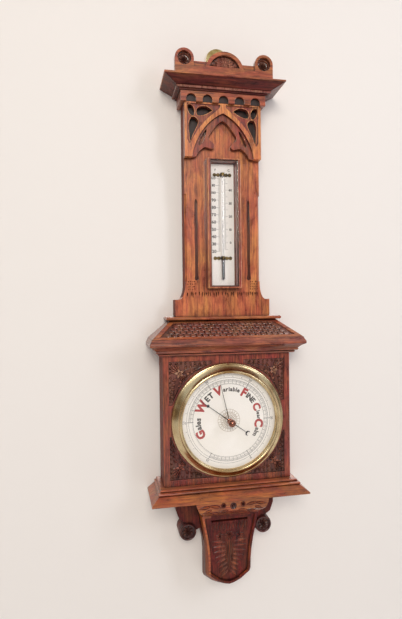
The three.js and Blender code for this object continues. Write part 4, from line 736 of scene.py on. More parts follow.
rims = bpy.data.objects.new("rims", tracery.data.copy())
bpy.context.collection.objects.link(rims)
pick(rims, lambda middle, normal: False, "EDGE")
mesh = bmesh.from_edit_mesh(rims.data)
for edge in mesh.edges:
    edge.select_set(rounds_piercing(edge))
bmesh.update_edit_mesh(rims.data)
bpy.ops.mesh.duplicate()
bpy.ops.mesh.separate(type="SELECTED")
bpy.ops.object.mode_set(mode="OBJECT")
hold(next(piece for piece in bpy.context.selected_objects if piece != rims))
bpy.ops.object.convert(target="CURVE")
bpy.context.object.data.bevel_depth = RIM_RADIUS * MM
bpy.context.object.data.bevel_resolution = 1
bpy.ops.object.convert(target="MESH")
gathered([bpy.context.object], "tracery_rims_painted_highlight", "tracery_panel", worn_edge_highlight_oak)
bpy.data.objects.remove(rims)
print("rims round the piercings")

# %% Finish the tracery and paint shade behind its piercings
CORNERS_FOOT = 590


def tracery_finish(middle, normal):
    """The number of the forward edges' finish, pale partly as painted highlight, the sunk corners' or the
    arch's.
    """
    return 2 if is_worn(normal) else middle.y > -PANEL_SUNK - 0.5 and middle.z > CORNERS_FOOT


round_off(tracery, 1.3)
sort_faces(tracery, tracery_finish)
stand_in(tracery, "tracery_panel_sunk", "tracery_panel", arch_oak, case_oak, worn_edge_highlight_oak)
# Painted shade: dark boards behind the piercings and the frieze's arches stand for the shadow in them.
for side, side_name in ((-1, "left"), (1, "right")):
    shade_board = slab(on_tracery(side, SHADE_BOARD_SHARES), PANEL_BACK + 0.05, PANEL_BACK + 0.2)
    gathered([shade_board], "tracery_shade_board_" + side_name, "tracery_panel", shade_board_oak)
shade_board = slab(ARCHES, FRIEZE_BED + 0.05, FRIEZE_BED + 0.25)
gathered([shade_board], "frieze_shade_board", "frieze_board", shade_board_oak)
print("stained grounds behind the tracery and the frieze")

# %% [markdown]
# ## The front of the case
# The front board has four sunk corners round the bezel. In each, a small flower sits near the outer
# corner. Two fern sprays grow from it, one along the case's edge and one up or down its side, short
# rays fill what is left, and rows of beads follow the bezel and the border. One function carves the
# top right corner and mirrors each mark into the others. Every mark is as long as the field lets it
# be, so a corner of any shape gets filled. The border below has shallow upright gouge cuts.

# %% Carve the front board
BOARD_FRONT, FIELD_FLOOR = 68, 65
FIRST_CUT, CUT_SPACING, CUT_FOOT = 41, 4.4, -132.4


def front_finish(middle, normal):
    """The number of the board's finish, an upper corner's, a side's, darker as painted shade, or a lower
    corner's, darker than an upper one as painted shade.
    """
    if abs(middle.y + FIELD_FLOOR) < 0.4 and normal.y < -0.9:
        return 1 if middle.z > 0 else 3
    return 2 if abs(middle.x) > 130 and abs(normal.x) > 0.5 else 0


front = round_off(copied("case_front_board"), 0.7)
cuts = []
for side in (-1, 1):
    for step in range(20):
        place = (side * (FIRST_CUT + CUT_SPACING * step), BOARD_FRONT, CUT_FOOT)
        cuts.append(laid(gouge, place, 2.4, 1.8, 9.4 + 0.8 * (step % 2)))
chisel(front, cuts)
sort_faces(front, front_finish)
stand_in(front, "case_front_board_carved", "case_front_board", case_oak, corner_oak, dull_side_shade_oak, low_corner_shade_oak)
print("front board with", len(cuts), "gouge cuts")

# %% Measure the room in a corner
FIELD_RING, FIELD_EDGE, FIELD_INNER = 127.5, 126.5, 36.0


def toward(turn, reach=1.0):
    """How far across and up a reach goes at a clock angle in degrees."""
    return reach * math.sin(math.radians(turn)), reach * math.cos(math.radians(turn))


def room(x, z, turn, bottom, top):
    """How far a leaf can run from a point before it leaves the sunk field or meets the bezel."""
    across, rise = toward(turn)
    for step in range(1, 160):
        at_x, at_z = abs(x + across * step / 2), abs(z + rise * step / 2)
        outside = at_x > FIELD_EDGE or at_x < FIELD_INNER or at_z > top or at_z < bottom
        if outside or math.hypot(at_x, at_z) < FIELD_RING:
            break
    return step / 2


print("a ray at 45 degrees has", room(100, 100, 45, 38, 127), "mm")

# %% Carve a corner of leaves
FLOWER_OUT, FLOWER_DROP, BEAD_RING = 104, 24, 131
LOW, HIGH, OUTLINE = 3.4, 9.0, 3.0


def corner_carving(side, level, top, bottom, corner):
    """The flower, sprays, rays and beads of one corner. Side and level are 1 or -1 for right and up."""
    x, z = FLOWER_OUT, top - FLOWER_DROP
    marks = {"shade_gaps": [], "leaves": [], "flower": []}

    def carve(kind, pattern, at_x, at_z, width, height, length, turn=0.0):
        """Lay a mark that is given for the top right corner, mirrored into this one."""
        clock = turn if level > 0 else 180 - turn
        place = (at_x * side, FIELD_FLOOR - 0.2, at_z * level)
        marks[kind].append(laid(pattern, place, width, height, length, clock * side))

    def outlined(kind, at_x, at_z, width, length, turn, pattern=leaf):
        """A raised leaf over a wider, lower and darker one, so that a dark line of painted shade runs round it.
        """
        carve("shade_gaps", pattern, at_x, at_z, width + OUTLINE, LOW, length + 1.4, turn)
        carve(kind, pattern, at_x, at_z, width, HIGH, length, turn)

    for tip_x, tip_z, inward in ((40, top - 7, -1), (119, bottom + 5, 1)):
        heading = math.degrees(math.atan2(tip_x - x, tip_z - z))
        # Painted shade: a long dark hollow lies under each spray.
        carve("shade_gaps", leaf, x, z, 13.0, 4.4, math.hypot(tip_x - x, tip_z - z) * 0.96, heading)
        for index in range(5):
            stem_x, stem_z = toward(heading, 14 + 10.5 * index)
            for lean, width, longest in ((38 * inward, 5.4, 16), (-46 * inward, 4.4, 9)):
                off_x, off_z = toward(heading + 2.2 * lean, 4.2)
                at_x, at_z = x + stem_x + off_x, z + stem_z + off_z
                space = room(at_x, at_z, heading + lean, bottom, top)
                if space > 4:
                    length = min(space - 1.8, longest - 1.4 * index)
                    outlined("leaves", at_x, at_z, width - 0.3 * index, length, heading + lean)
    for turn in (11, 28, 45, 62, 79, 199, 213, 227, 241):
        off_x, off_z = toward(turn, 6)
        outlined("leaves", x + off_x, z + off_z, 3.8, room(x, z, turn, bottom, top) - 8, turn, blade)
    for index in range(5):
        outlined("flower", x, z, 6.0, 11.5, 14 + 72 * index)
    # Painted shade: a dark patch under the flower's button.
    carve("shade_gaps", leaf, x, z - 4.7, 9.4, 12.0, 9.4)
    carve("flower", leaf, x, z - 3.1, 6.2, 16.0, 6.2)
    turns = [0.3 + 0.0733 * step for step in range(20)]
    beads = [(BEAD_RING * math.sin(turn), BEAD_RING * math.cos(turn)) for turn in turns]
    beads += [(120.5 - 10 * step, top - 3.2) for step in range(8)]
    beads += [(123.2, top - 13 - 10 * step) for step in range(8)]
    for at_x, at_z in beads:
        if 41 < at_x < 124 and bottom + 3 < at_z < top - 2:
            # Painted shade: a dark ring under each bead.
            carve("shade_gaps", leaf, at_x, at_z - 2.7, 5.4, LOW, 5.4)
            carve("leaves", leaf, at_x, at_z - 1.4, 2.6, 7.0, 3.4)
    # Painted light: upper corners get paler leaves and petals as painted highlight, lower corners darker ones
    # as painted shade.
    leaf_oak, flower_oak = (carved_oak, petal_highlight_oak) if level > 0 else (low_shade_and_bead_highlight_oak, carved_oak)
    for kind, finish in (("shade_gaps", dark_carving_stain_and_shade), ("leaves", leaf_oak), ("flower", flower_oak)):
        gathered(marks[kind], f"corner_{kind}_{corner}", "case_front_board", finish)
    return sum(len(laid_marks) for laid_marks in marks.values())


for side, side_name in ((-1, "left"), (1, "right")):
    for level, level_name, top, bottom in ((1, "top", 127, 38), (-1, "bottom", 120, 31)):
        count = corner_carving(side, level, top, bottom, level_name + "_" + side_name)
        print(level_name, side_name, count, "marks")

# %% [markdown]
# ## The carved roof
# The front slope of the roof is sunk inside a plain border and filled with overlapping scales, like
# fish scales or roof tiles. One scale starts as a disc, gets its thickness and rounded rim by
# extruding, and has its lower half raised, so that each row seems to lie on the one below.

# %% Sink the roof's field
RISE, RUN = 37.4, 51.0
ROOF_FOOT = Vector((0, -92, 176.6))
BORDER, FIELD_SINK = 8.5, 1.8
slope = math.hypot(RISE, RUN)
outward = Vector((0, -RISE / slope, RUN / slope))


def roof_finish(middle, normal):
    """Whether a face is the floor of the sunk field."""
    return normal.dot(outward) > 0.99 and (middle - ROOF_FOOT).dot(outward) < -1.2


roof = copied("roof_panel_front")
pick(roof, lambda point, normal: normal.dot(outward) > 0.99)
bpy.ops.mesh.inset(thickness=BORDER * MM, depth=0)
bpy.ops.mesh.inset(thickness=0.4 * MM, depth=-FIELD_SINK * MM)
let_go()
round_off(sort_faces(roof, roof_finish), 0.6)
stand_in(roof, "roof_panel_front_sunk", "roof_panel_front", oak_across, field_oak)
print("roof's field sunk by", FIELD_SINK, "mm")

# %% Model a scale
let_go()
bpy.ops.mesh.primitive_circle_add(vertices=14, radius=0.5, fill_type="NGON", rotation=(math.pi / 2, 0, 0))
bpy.ops.object.transform_apply(location=True, rotation=True, scale=True)
fish_scale = bpy.context.object
fish_scale.name = "scale"
pick(fish_scale, lambda point, normal: True)
for thickness, share in ((-0.5, 1), (-0.4, 0.86), (0.25, 0.6)):
    bpy.ops.mesh.extrude_region_move(TRANSFORM_OT_translate={"value": (0, thickness, 0)})
    bpy.ops.transform.resize(value=(share, 1, share))
pick(fish_scale, lambda point, normal: point.y < -0.3 and point.z < -0.05, "VERT")
bpy.ops.transform.translate(value=(0, -0.6, 0))
bpy.ops.mesh.select_all(action="SELECT")
bpy.ops.mesh.normals_make_consistent(inside=False)
let_go()
print("scale", len(fish_scale.data.polygons), "faces")

# %% Lay the scales in rows
FIRST_ROW, ROW_SPACING, HALF_SPACING = 13.2, 9.3, 6.4
ROOF_HALF, ROOF_SPLAY, END_BORDER = 163.5, 45.2, 15.5
lean = -math.degrees(math.atan2(RUN, RISE))
scales = []
for row in range(5):
    along = FIRST_ROW + row * ROW_SPACING
    half = ROOF_HALF - ROOF_SPLAY * along / slope - END_BORDER
    middle = ROOF_FOOT + Vector((0, RUN, RISE)) * along / slope - outward * FIELD_SINK
    count = int(half / HALF_SPACING) + (int(half / HALF_SPACING) + row) % 2
    for index in range(-count, count + 1, 2):
        x = index * HALF_SPACING
        if abs(x) <= half:
            scales.append(laid(fish_scale, (x, -middle.y, middle.z), 12.4, 1.9, 12.0, 0, lean))
gathered(scales, "roof_scales", "roof_panel_front", roof_oak)
print("roof with", len(scales), "scales")

# %% [markdown]
# ## Notches over the foot of the neck
# Where the neck widens into its foot, the real one has an uneven band of small gouge cuts. They are
# cut out of the rounded plank with the gouge mark, in loose groups, from random numbers with a seed.

# %% Notch the neck
NECK_FRONT, NOTCHES_TOP, DIMPLES_FOOT = 36, 276, 279


def neck_finish(middle, normal):
    """The number of the plank's finish, the grooves', darker as painted shade, or the sides', darker as painted
    shade.
    """
    if 50 < abs(middle.x) < 70 and 286 < middle.z < 500 and -35.6 < middle.y < -20:
        return 1
    return 2 if abs(normal.x) > 0.8 and abs(middle.x) > 70 else 0


neck = round_off(copied("neck_board"), 0.7)
cuts, x = [], -80.0
while x < 80:
    width, length = chance.uniform(2.4, 3.6), chance.uniform(6, 13)
    place = (x, NECK_FRONT, NOTCHES_TOP - length - chance.uniform(0, 2))
    cuts.append(laid(gouge, place, width, 5.5, length, chance.uniform(-4, 4)))
    x += width + chance.choice((1.6, 1.8, 2.4, 5.5))
for side in (-1, 1):
    for row in range(4):
        for column in range(4):
            place = (side * (63 + 5 * column + chance.uniform(-1, 1)), NECK_FRONT, DIMPLES_FOOT + 5.5 * row)
            cuts.append(laid(gouge, place, 2.6, 3.0, chance.uniform(2.6, 4.4), chance.uniform(-20, 20)))
chisel(neck, cuts)
sort_faces(neck, neck_finish)
stand_in(neck, "neck_board_notched", "neck_board", oak_upright, groove_shade_oak, dull_side_shade_oak)
print("neck with", len(cuts), "notches")

# %% [markdown]
# ## Turned bosses and rosettes
# The crest's two rings and the two ears at the foot hold dark turned buttons with a small carved
# flower. A turned piece is drawn as half its outline and spun round its axis, as on a lathe. The
# petals are leaves laid round the middle.

# %% Turn a piece
def turned(outline, steps=48):
    """Spin an outline of [radius, depth] points, in mm, about the line that points out of the wall. One
    that starts on that line ends on it too, and its edge along the line is left out."""
    let_go()
    bpy.ops.mesh.primitive_circle_add(vertices=len(outline), radius=1)
    piece = bpy.context.object
    for point, (radius, depth) in zip(piece.data.vertices, outline):
        point.co = Vector((radius, -depth, 0)) * MM
    if outline[0][0] == 0:
        pick(piece, lambda middle, normal: abs(middle.x) < 1e-7, "EDGE")
        bpy.ops.mesh.delete(type="EDGE_FACE")
    hold(piece)
    bpy.ops.object.mode_set(mode="EDIT")
    bpy.ops.mesh.select_all(action="SELECT")
    bpy.ops.mesh.spin(steps=steps, angle=2 * math.pi, center=(0, 0, 0), axis=(0, 1, 0))
    bpy.ops.mesh.select_all(action="SELECT")
    bpy.ops.mesh.remove_doubles(threshold=0.002 * MM)
    bpy.ops.mesh.normals_make_consistent(inside=False)
    let_go()
    return piece


def moved(piece, x, z):
    """Move a turned piece from the dial's axis to its own place, in mm."""
    piece.location = (x * MM, 0, z * MM)
    return piece


def rosette(place, petals, reach, width, height, start=0.0):
    """Petals round a point."""
    return [laid(leaf, place, width, height, reach, start + 360 * index / petals) for index in range(petals)]


# %% Turn the four bosses
BOSS_SHARES = [(0, 0), (1, 0), (1, 0.72), (0.97, 0.9), (0.93, 1), (0.86, 1), (0.8, 0.88), (0.77, 0.6),
               (0.74, 0.42), (0.6, 0.34), (0.4, 0.36), (0.26, 0.44), (0, 0.48)]
for node, x, z, radius, back, face, finishes in (
    ("lunette_boss_left", -86.5, 761.5, 14.3, 58, 65, (roof_oak, roof_oak)),
    ("lunette_boss_right", 86.5, 761.5, 14.3, 58, 65, (roof_oak, roof_oak)),
    ("ear_boss_left", -85.7, -247.5, 18.4, 36.3, 42.3, (dark_upright, dark_carving_stain_and_shade)),
    ("ear_boss_right", 85.7, -247.5, 18.4, 36.3, 42.3, (dark_upright, dark_carving_stain_and_shade)),
):
    thick = face - back
    outline = [(out * radius, back + share * thick) for out, share in BOSS_SHARES]
    stand_in(moved(turned(outline), x, z), node + "_turned", node, finishes[0])
    bed = back + 0.4 * thick
    flower = rosette((x, bed, z), 8, radius * 0.7, radius * 0.36, thick * 0.85, 11)
    flower += rosette((x, bed, z), 8, radius * 0.44, radius * 0.26, thick * 1.1, 33.5)
    flower.append(laid(leaf, (x, bed, z - radius * 0.13), radius * 0.26, thick * 1.2, radius * 0.26))
    gathered(flower, node.replace("boss", "flower"), node, finishes[1])
print("four bosses with flowers")

# %% [markdown]
# ## The shell in the crest
# Under the crest's round arch is a fan of flutes, like half a scallop shell. Each flute is a leaf
# laid from the hinge at the bottom, and is as long as the arch lets it be.

# %% Fan out the shell
SHELL_FACE, HINGE, ARCH_MIDDLE, FLUTES_RING = 65, 749.5, 739, 32.6
flutes = []
for step in range(9):
    turn = -82 + 20.5 * step
    across, lift = toward(turn, HINGE - ARCH_MIDDLE)
    reach = math.sqrt(FLUTES_RING ** 2 - across ** 2) - lift
    flutes.append(laid(leaf, (0, SHELL_FACE, HINGE), 5.4 + reach * 0.13, 12.0, reach, turn))
for size, height in ((9, 9), (5, 11)):
    flutes.append(laid(leaf, (0, SHELL_FACE, HINGE - 1.1), size, height, size))
gathered(flutes, "shell_flutes", "crest_shell", carved_oak)
print("shell of", len(flutes), "parts")

# %% [markdown]
# ## The apron and the console
# The apron under the base has a turned button in the middle, a small ringed eye at each side of it
# and a curling spray of leaves. The console's sunk panel, whose face leans back by five degrees,
# has a dark slot and a row of flutes at its head, a flower, and long low leaves that spread from a
# stem nearly to the rim. Each leaf lies on a wider and darker one, which outlines it with painted
# shade.

# %% Carve the apron
APRON_FACE, EYE_OUT, EYE_LEVEL = 104, 21, -169
SPRAY = ((29, -171, 25, 4.6, 80), (50, -168.5, 23, 4.2, 97), (47, -176, 18, 3.4, 106),
         (12, -179, 21, 3.8, 100), (32, -184.5, 16, 3.2, 82))
EYE_RING = [(radius, APRON_FACE + proud) for radius, proud in (
    (2.4, -0.4), (5.4, -0.4), (5.4, 0.8), (4.7, 1.6), (3.6, 1.4), (2.4, 0.2))]
apron = round_off(copied("apron_block"), 0.7)
sort_faces(apron, lambda middle, normal: middle.y < -APRON_FACE - 0.2)
stand_in(apron, "apron_block_eased", "apron_block", apron_oak, dark_upright)
leaves, lines = [], []
for side in (-1, 1):
    lines.append(moved(turned(EYE_RING, 24), EYE_OUT * side, EYE_LEVEL))
    lines += rosette((EYE_OUT * side, APRON_FACE, EYE_LEVEL), 5, 3.4, 2.2, 3.6)
    for x, z, length, width, turn in SPRAY:
        # Painted shade: a wider, lower blade in the dark finish outlines each leaf.
        lines.append(laid(blade, (side * (x - 1), APRON_FACE, z), width + 3.4, 2.4, length + 3, side * turn))
        leaves.append(laid(blade, (side * x, APRON_FACE, z), width, 5.2, length, side * turn))
gathered(leaves, "apron_leaves", "apron_block", apron_oak)
gathered(lines, "apron_eyes_and_shade_outlines", "apron_block", console_dark_and_shade_oak)
print("apron with", len(leaves), "leaves and", len(lines), "dark marks")

# %% Finish the console
CONSOLE_TOP, CONSOLE_FACE, LEAN_SHARE, LIT_RIM_END = -199.6, 73, 0.08716, 42
SLOT, SLOT_BACK, PAST_CONSOLE = oblong(40, -217.0, -212.4), 62, 80


def panel_depth(z):
    """The depth of the console's leaning panel at a height."""
    return CONSOLE_FACE - (CONSOLE_TOP - z) * LEAN_SHARE


def console_finish(middle, normal):
    """The number of the left rim's finish, orange as painted light, the panel's, which the rest of the rim
    shares and which is dark partly as painted shade, or the finish of the sides, orange as painted light.
    """
    on_panel = normal.y < -0.9 and abs(-middle.y - panel_depth(middle.z)) < 0.8
    if normal.y < -0.5 and middle.x < -LIT_RIM_END and not on_panel:
        return 0
    return 2 if abs(normal.x) > 0.5 and not on_panel else 1


# Painted light: the rim's faces left of the cut are orange as painted light, and the rest of the rim is darker
# as painted shade.
console = copied("console_body")
chisel(console, [slab(SLOT, SLOT_BACK, PAST_CONSOLE)])
round_off(console, 0.8)
pick(console, lambda middle, normal: True)
bpy.ops.mesh.bisect(plane_co=(-LIT_RIM_END * MM, 0, 0), plane_no=(1, 0, 0))
let_go()
sort_faces(console, console_finish)
stand_in(console, "console_body_eased", "console_body", oak_base, console_dark_and_shade_oak, lit_rim_oak)
print("console with its slot")

# %% Carve the console's panel
leaves, lines = [], []


def on_console(x, z, width, height, length, turn):
    """A blade on the console's leaning panel, over a wider, lower and darker one that outlines it with painted
    shade.
    """
    for marks, wider, lift in ((leaves, 0, height), (lines, 3.0, 3.2)):
        place = (x, panel_depth(z) - 0.1, z)
        marks.append(laid(blade, place, width + wider, lift, length + wider / 2, turn, 5))


for index in range(-5, 6):
    on_console(index * 7.4, -238 + 0.5 * abs(index), 4.4, 6.8, 17, 0)
for index in range(10):
    on_console(0, -249, 4.6, 6.8, 10.5, 36 * index)
on_console(0, -252, 6, 9.8, 6, 0)
for side in (-1, 1):
    for index in range(5):
        on_console(side * 22, -250, 4.6, 6.8, 9.0, 72 * index)
    for row in range(8):
        on_console(side * (9 - row), -264 - 9.2 * row, 5.4, 6.2, 32 - 1.4 * row, side * (84 + 7 * row))
    on_console(side * 4.5, -262, 4.0, 5.8, 48, side * 176)
on_console(0, -258, 4.6, 6.8, 80, 180)
gathered(leaves, "console_leaves", "console_body", spray_oak)
gathered(lines, "console_shade_outlines", "console_body", dark_carving_stain_and_shade)
print("console with", len(leaves), "leaves")

# %% [markdown]
# ## The bezel and the knob
# The bezel is spun from brass sheet. From the outside in it has a bead that sits on the wood, a wide
# cove, a fine raised line, a thick half round and a flat band that slopes to the glass. The set
# hand's knob has a foot, a neck and a ball. Both are turned with more steps than the CAD needs. The
# small screw at the bezel's top is turned too, and a box cuts its slot.

# %% Turn the bezel and the knob
bezel = turned([
    (106.6, 68.3), (122.2, 68.3), (122.9, 69.0), (123.0, 70.2), (122.6, 71.6), (121.6, 72.8), (120.2, 73.3),
    (119.2, 73.2), (118.8, 73.5), (117.0, 74.3), (115.0, 75.7), (113.2, 77.2), (111.4, 78.8), (109.9, 80.4),
    (109.0, 81.6), (108.7, 82.4), (108.9, 83.2), (108.7, 84.6), (108.0, 85.9), (106.9, 86.9), (105.6, 87.3),
    (104.4, 87.1), (103.7, 86.5), (103.5, 86.2), (103.1, 86.0), (102.7, 85.2), (102.2, 84.0), (101.7, 82.6),
    (101.6, 81.6), (106.6, 81.6)], 128)
stand_in(bezel, "bezel_spun", "bezel", bezel_brass, smooth=40)
knob = turned([
    (0, 78.1), (2.2, 78.1), (2.2, 81.6), (5.6, 81.6), (6.0, 81.9), (6.0, 82.6), (5.5, 83.1), (4.6, 83.3),
    (3.9, 83.9), (3.4, 85.0), (3.1, 87.5), (3.1, 90.0), (3.5, 91.6), (4.0, 92.2), (4.2, 92.9), (5.6, 94.4),
    (6.9, 96.2), (7.75, 98.2), (8.0, 100.1), (7.75, 102.1), (6.95, 104.1), (5.7, 105.75), (4.0, 107.0),
    (2.1, 107.8), (0, 108.1)])
stand_in(knob, "set_knob_turned", "set_knob", copper, smooth=60)
print("bezel", len(bezel.data.polygons), "faces, knob", len(knob.data.polygons), "faces")

# %% Turn the bezel's screw and cut its slot
BEZEL_SCREW = 120.4


def slotted(screw, place, size, turn=0.0):
    """Cut a screw's slot, a box of this size in mm, turned about the line out of the wall."""
    let_go()
    bpy.ops.mesh.primitive_cube_add(size=1, location=Vector(place) * MM, rotation=(0, turn, 0))
    bpy.context.object.scale = Vector(size) * MM
    return chisel(screw, [bpy.context.object])


pin = turned([(0, 72.8), (2.1, 72.8), (2.1, 73.6), (1.7, 74.3), (1.0, 74.7), (0, 74.8)], 20)
slotted(pin, (0, -75, 0), (6, 1.4, 0.6), 0.5)
gathered([moved(pin, 0, BEZEL_SCREW)], "bezel_screw", "bezel", copper)
print("screw", BEZEL_SCREW, "mm above the dial's axis")

# %% [markdown]
# ## Printing on the dial
# The porcelain carries a ring of ticks from 26 to 31 inches of mercury, sixty degrees to the inch,
# with its inch and tenth numbers, six weather words with red first letters, and a pale rosette
# round the middle. The print is real ink of a few hundredths of a millimetre, so ticks are thin bars
# that a spin repeats round the axis, rings are flattened rings of small section, and letters are
# text that becomes a mesh and is then laid round the dial letter by letter.

# %% Print ticks and rings
INK = 0.08
DIAL = 74.0
SCALE_START, INCH = -150, 60


def ink_bar(x, z, width, length, face):
    """A printed bar, its middle at x and z, on a face at this depth."""
    let_go()
    bpy.ops.mesh.primitive_cube_add(size=1)
    printed = bpy.context.object
    printed.scale = Vector((width, INK, length)) * MM
    printed.location = Vector((x, -face, z)) * MM
    return printed


def tick_ring(radius, length, width, steps, start, sweep):
    """Bars that point at the middle, repeated round the dial from one angle on."""
    ticks = ink_bar(0, radius + length / 2, width, length, DIAL)
    bpy.ops.object.transform_apply(location=True, rotation=True, scale=True)
    bpy.ops.object.mode_set(mode="EDIT")
    bpy.ops.mesh.select_all(action="SELECT")
    bpy.ops.transform.rotate(value=-math.radians(start), orient_axis="Y", center_override=(0, 0, 0))
    bpy.ops.mesh.spin(steps=steps, angle=math.radians(sweep), dupli=True, center=(0, 0, 0), axis=(0, 1, 0))
    bpy.ops.object.mode_set(mode="OBJECT")
    return ticks


def print_ring(radius, width):
    """A thin printed circle."""
    inner, outer, low, high = radius - width / 2, radius + width / 2, DIAL - 0.02, DIAL + INK / 2
    return turned([(inner, low), (outer, low), (outer, high), (inner, high)], 96)


ticks = [tick_ring(radius, length, width, steps, SCALE_START, 5 * INCH) for radius, length, width, steps in (
    (82.0, 5.0, 0.5, 250), (79.0, 8.2, 0.8, 50), (77.0, 15.0, 1.1, 5))]
rings = [print_ring(radius, width) for radius, width in ((78.0, 0.6), (87.2, 0.5), (91.6, 0.6), (79.6, 0.3))]
gathered(ticks + rings, "dial_ticks", "dial_plate", grey_ink)
petals = [tick_ring(7.0, 11.0, 0.9, 23, 0, 345), tick_ring(14.5, 9.0, 0.7, 23, 7.5, 345)]
rings = [print_ring(radius, width) for radius, width in ((24.0, 0.6), (18.0, 0.5), (11.5, 0.6), (7.0, 0.6))]
gathered(petals + rings, "dial_rosette", "dial_plate", pale_ink)
print("three rings of ticks and a rosette")

# %% Make letters
def letter(character, size, weight):
    """One character as a thin mesh that stands upright and looks along -Y, its middle at 0, and its
    width in mm. Weight thickens its strokes by a share of its size."""
    let_go()
    bpy.ops.object.text_add()
    piece = bpy.context.object
    piece.data.body, piece.data.size = character, size * MM
    piece.data.extrude, piece.data.offset = INK / 2 * MM, weight * size * MM
    piece.data.resolution_u = 3
    bpy.ops.object.convert(target="MESH")
    piece = bpy.context.object
    piece.rotation_euler = (math.pi / 2, 0, 0)
    bpy.ops.object.transform_apply(location=True, rotation=True, scale=True)
    across = [point.co.x for point in piece.data.vertices]
    left, width = min(across), max(across) - min(across)
    piece.data.transform(Matrix.Translation((-left - width / 2, 0, -size * 0.35 * MM)))
    return piece, width / MM


def spaced(text, size, weight, gap):
    """A text's letters, each with the way from the text's middle to its own in mm."""
    made = [letter(character, size, weight) for character in text]
    at = (gap - sum(width + gap for piece, width in made)) / 2
    placed = []
    for piece, width in made:
        placed.append((piece, at + width / 2))
        at += width + gap
    return placed


def round_dial(piece, radius, turn):
    """Move a letter to its radius and turn it round the dial."""
    turned_round = Matrix.Rotation(math.radians(turn), 4, "Y") @ Matrix.Translation((0, 0, radius * MM))
    piece.matrix_world = Matrix.Translation((0, -DIAL * MM, 0)) @ turned_round
    return piece


def figures_round_dial(text, radius, turn, size, weight, gap):
    """A number that stands on the dial with its middle at one clock angle."""
    return [round_dial(piece, radius, turn + math.degrees(off / radius))
            for piece, off in spaced(text, size, weight, gap)]


print("letters are", INK, "mm thick")

# %% Print words and numbers on the dial
INITIAL_RING, WORD_RING, INCH_RING, TENTH_RING = 67.5, 67.0, 95.8, 94.6
reds, blacks = [], []
for initial, rest, start, size in (("G", "ales", -114, 15.5), ("W", "ET", -62, 17), ("V", "ariable", -20, 12.2),
                                   ("F", "INE", 31, 15.5), ("C", "lear", 67, 11), ("C", "alm", 98, 13)):
    piece, width = letter(initial, 25 if size > 12 else 22, 0.05)
    reds.append(round_dial(piece, INITIAL_RING, start))
    at = width / 2 + 1.6
    for character in rest:
        piece, width = letter(character, size, 0.04)
        blacks.append(round_dial(piece, WORD_RING, start + math.degrees((at + width / 2) / WORD_RING)))
        at += width + 0.8
gathered(reds, "dial_initials", "dial_plate", red_ink)
gathered(blacks, "dial_words", "dial_plate", black_ink)
numbers = []
for index in range(6):
    numbers += figures_round_dial(str(26 + index), INCH_RING, SCALE_START + INCH * index, 7.2, 0.01, 0.5)
for tenth in range(0, 50, 2):
    if tenth % 10:
        turn = SCALE_START + INCH / 10 * tenth
        numbers += figures_round_dial(str(tenth % 10), TENTH_RING, turn, 3.8, 0.0, 0.3)
gathered(numbers, "dial_numbers", "dial_plate", grey_ink)
print(len(reds), "initials,", len(blacks), "letters and", len(numbers), "figures on the dial")

# %% [markdown]
# ## The thermometer's scale
# The milk glass scale has Fahrenheit degrees on the left and Celsius on the right, with the two
# scales on the same mercury: 1.6 mm to a degree Fahrenheit, and freezing point at both 32 and 0. The
# left side has a tick for each degree and the right side one for each half degree.

# %% Print the thermometer scale
SCALE_FACE, FREEZING, DEGREE = 36.0, 383.0, 1.6
TICKS_LEFT, TICKS_RIGHT, LETTERS_LEVEL = -4.6, 4.6, 541.5


def bar(x0, x1, z, thickness):
    """A short level line on the scale."""
    return ink_bar((x0 + x1) / 2, z, x1 - x0, thickness, SCALE_FACE)


def stood(text, x, z, size, weight):
    """A short text on the scale, its middle at x and z."""
    made = spaced(text, size, weight, 0.3)
    for piece, off in made:
        piece.location = Vector((x + off, -SCALE_FACE, z)) * MM
    return [piece for piece, off in made]


marks, figures = [], []
for degree in range(20, 121):
    z = FREEZING + (degree - 32) * DEGREE
    marks.append(bar(-9.4 if degree % 10 else -14.5, TICKS_LEFT, z, 0.42 if degree % 10 else 0.6))
    if degree % 10 == 0:
        figures += stood(str(degree), -19.2, z, 9.2 if degree < 100 else 7.4, 0.035)
for degree in range(-5, 49):
    z = FREEZING + degree * 1.8 * DEGREE
    marks.append(bar(TICKS_RIGHT, 8.4 if degree % 5 else 12.0, z, 0.5 if degree % 5 else 0.6))
    if degree < 48:
        marks.append(bar(TICKS_RIGHT, 7.2, z + 0.9 * DEGREE, 0.4))
    if degree % 10 == 0:
        figures += stood(str(degree), 18.2, z, 7.2, 0.03)
for name, x in (("F", -15), ("C", 15)):
    figures += stood(name, x, LETTERS_LEVEL, 7.0, 0.02)
gathered(marks, "scale_ticks", "scale_plate", grey_ink)
gathered(figures, "scale_numbers", "scale_plate", black_ink)
print(len(marks), "ticks and", len(figures), "figures on the scale")

# %% [markdown]
# ## Metal work
# The plate that it hangs by, the clips, the hands and the whole movement are metal. They get rounded
# copies, or keep the CAD node where that is already as fine as the real one, and take their finish.

# %% Ease the metal and finish the rest
for node, width, material in (
    ("hanging_plate", 0.4, brass), ("movement_drum", 0.4, brass), ("movement_plate", 0.3, brass),
    ("aneroid_capsule", 0.3, brass), ("mainspring_bridge", 0.4, steel), ("main_lever", 0.2, steel),
    ("rocker_shaft", 0.15, steel), ("tube_clip_upper", 0.2, old_brass), ("tube_clip_lower", 0.2, old_brass),
    ("scale_plate", 0.3, milk_glass), ("set_hand", 0.08, old_brass),
):
    ease(node, width, material)
for node, material in (
    ("regulating_screw", steel), ("fusee_chain", steel), ("hand_arbor", steel), ("hairspring", blued_steel),
    ("dial_plate", porcelain), ("spacer_ring", brass), ("dial_glass", dial_glass),
    ("thermometer_glass", tube_glass),
):
    nodes[node].material_slots[0].material = material
print("metal and glass finished")

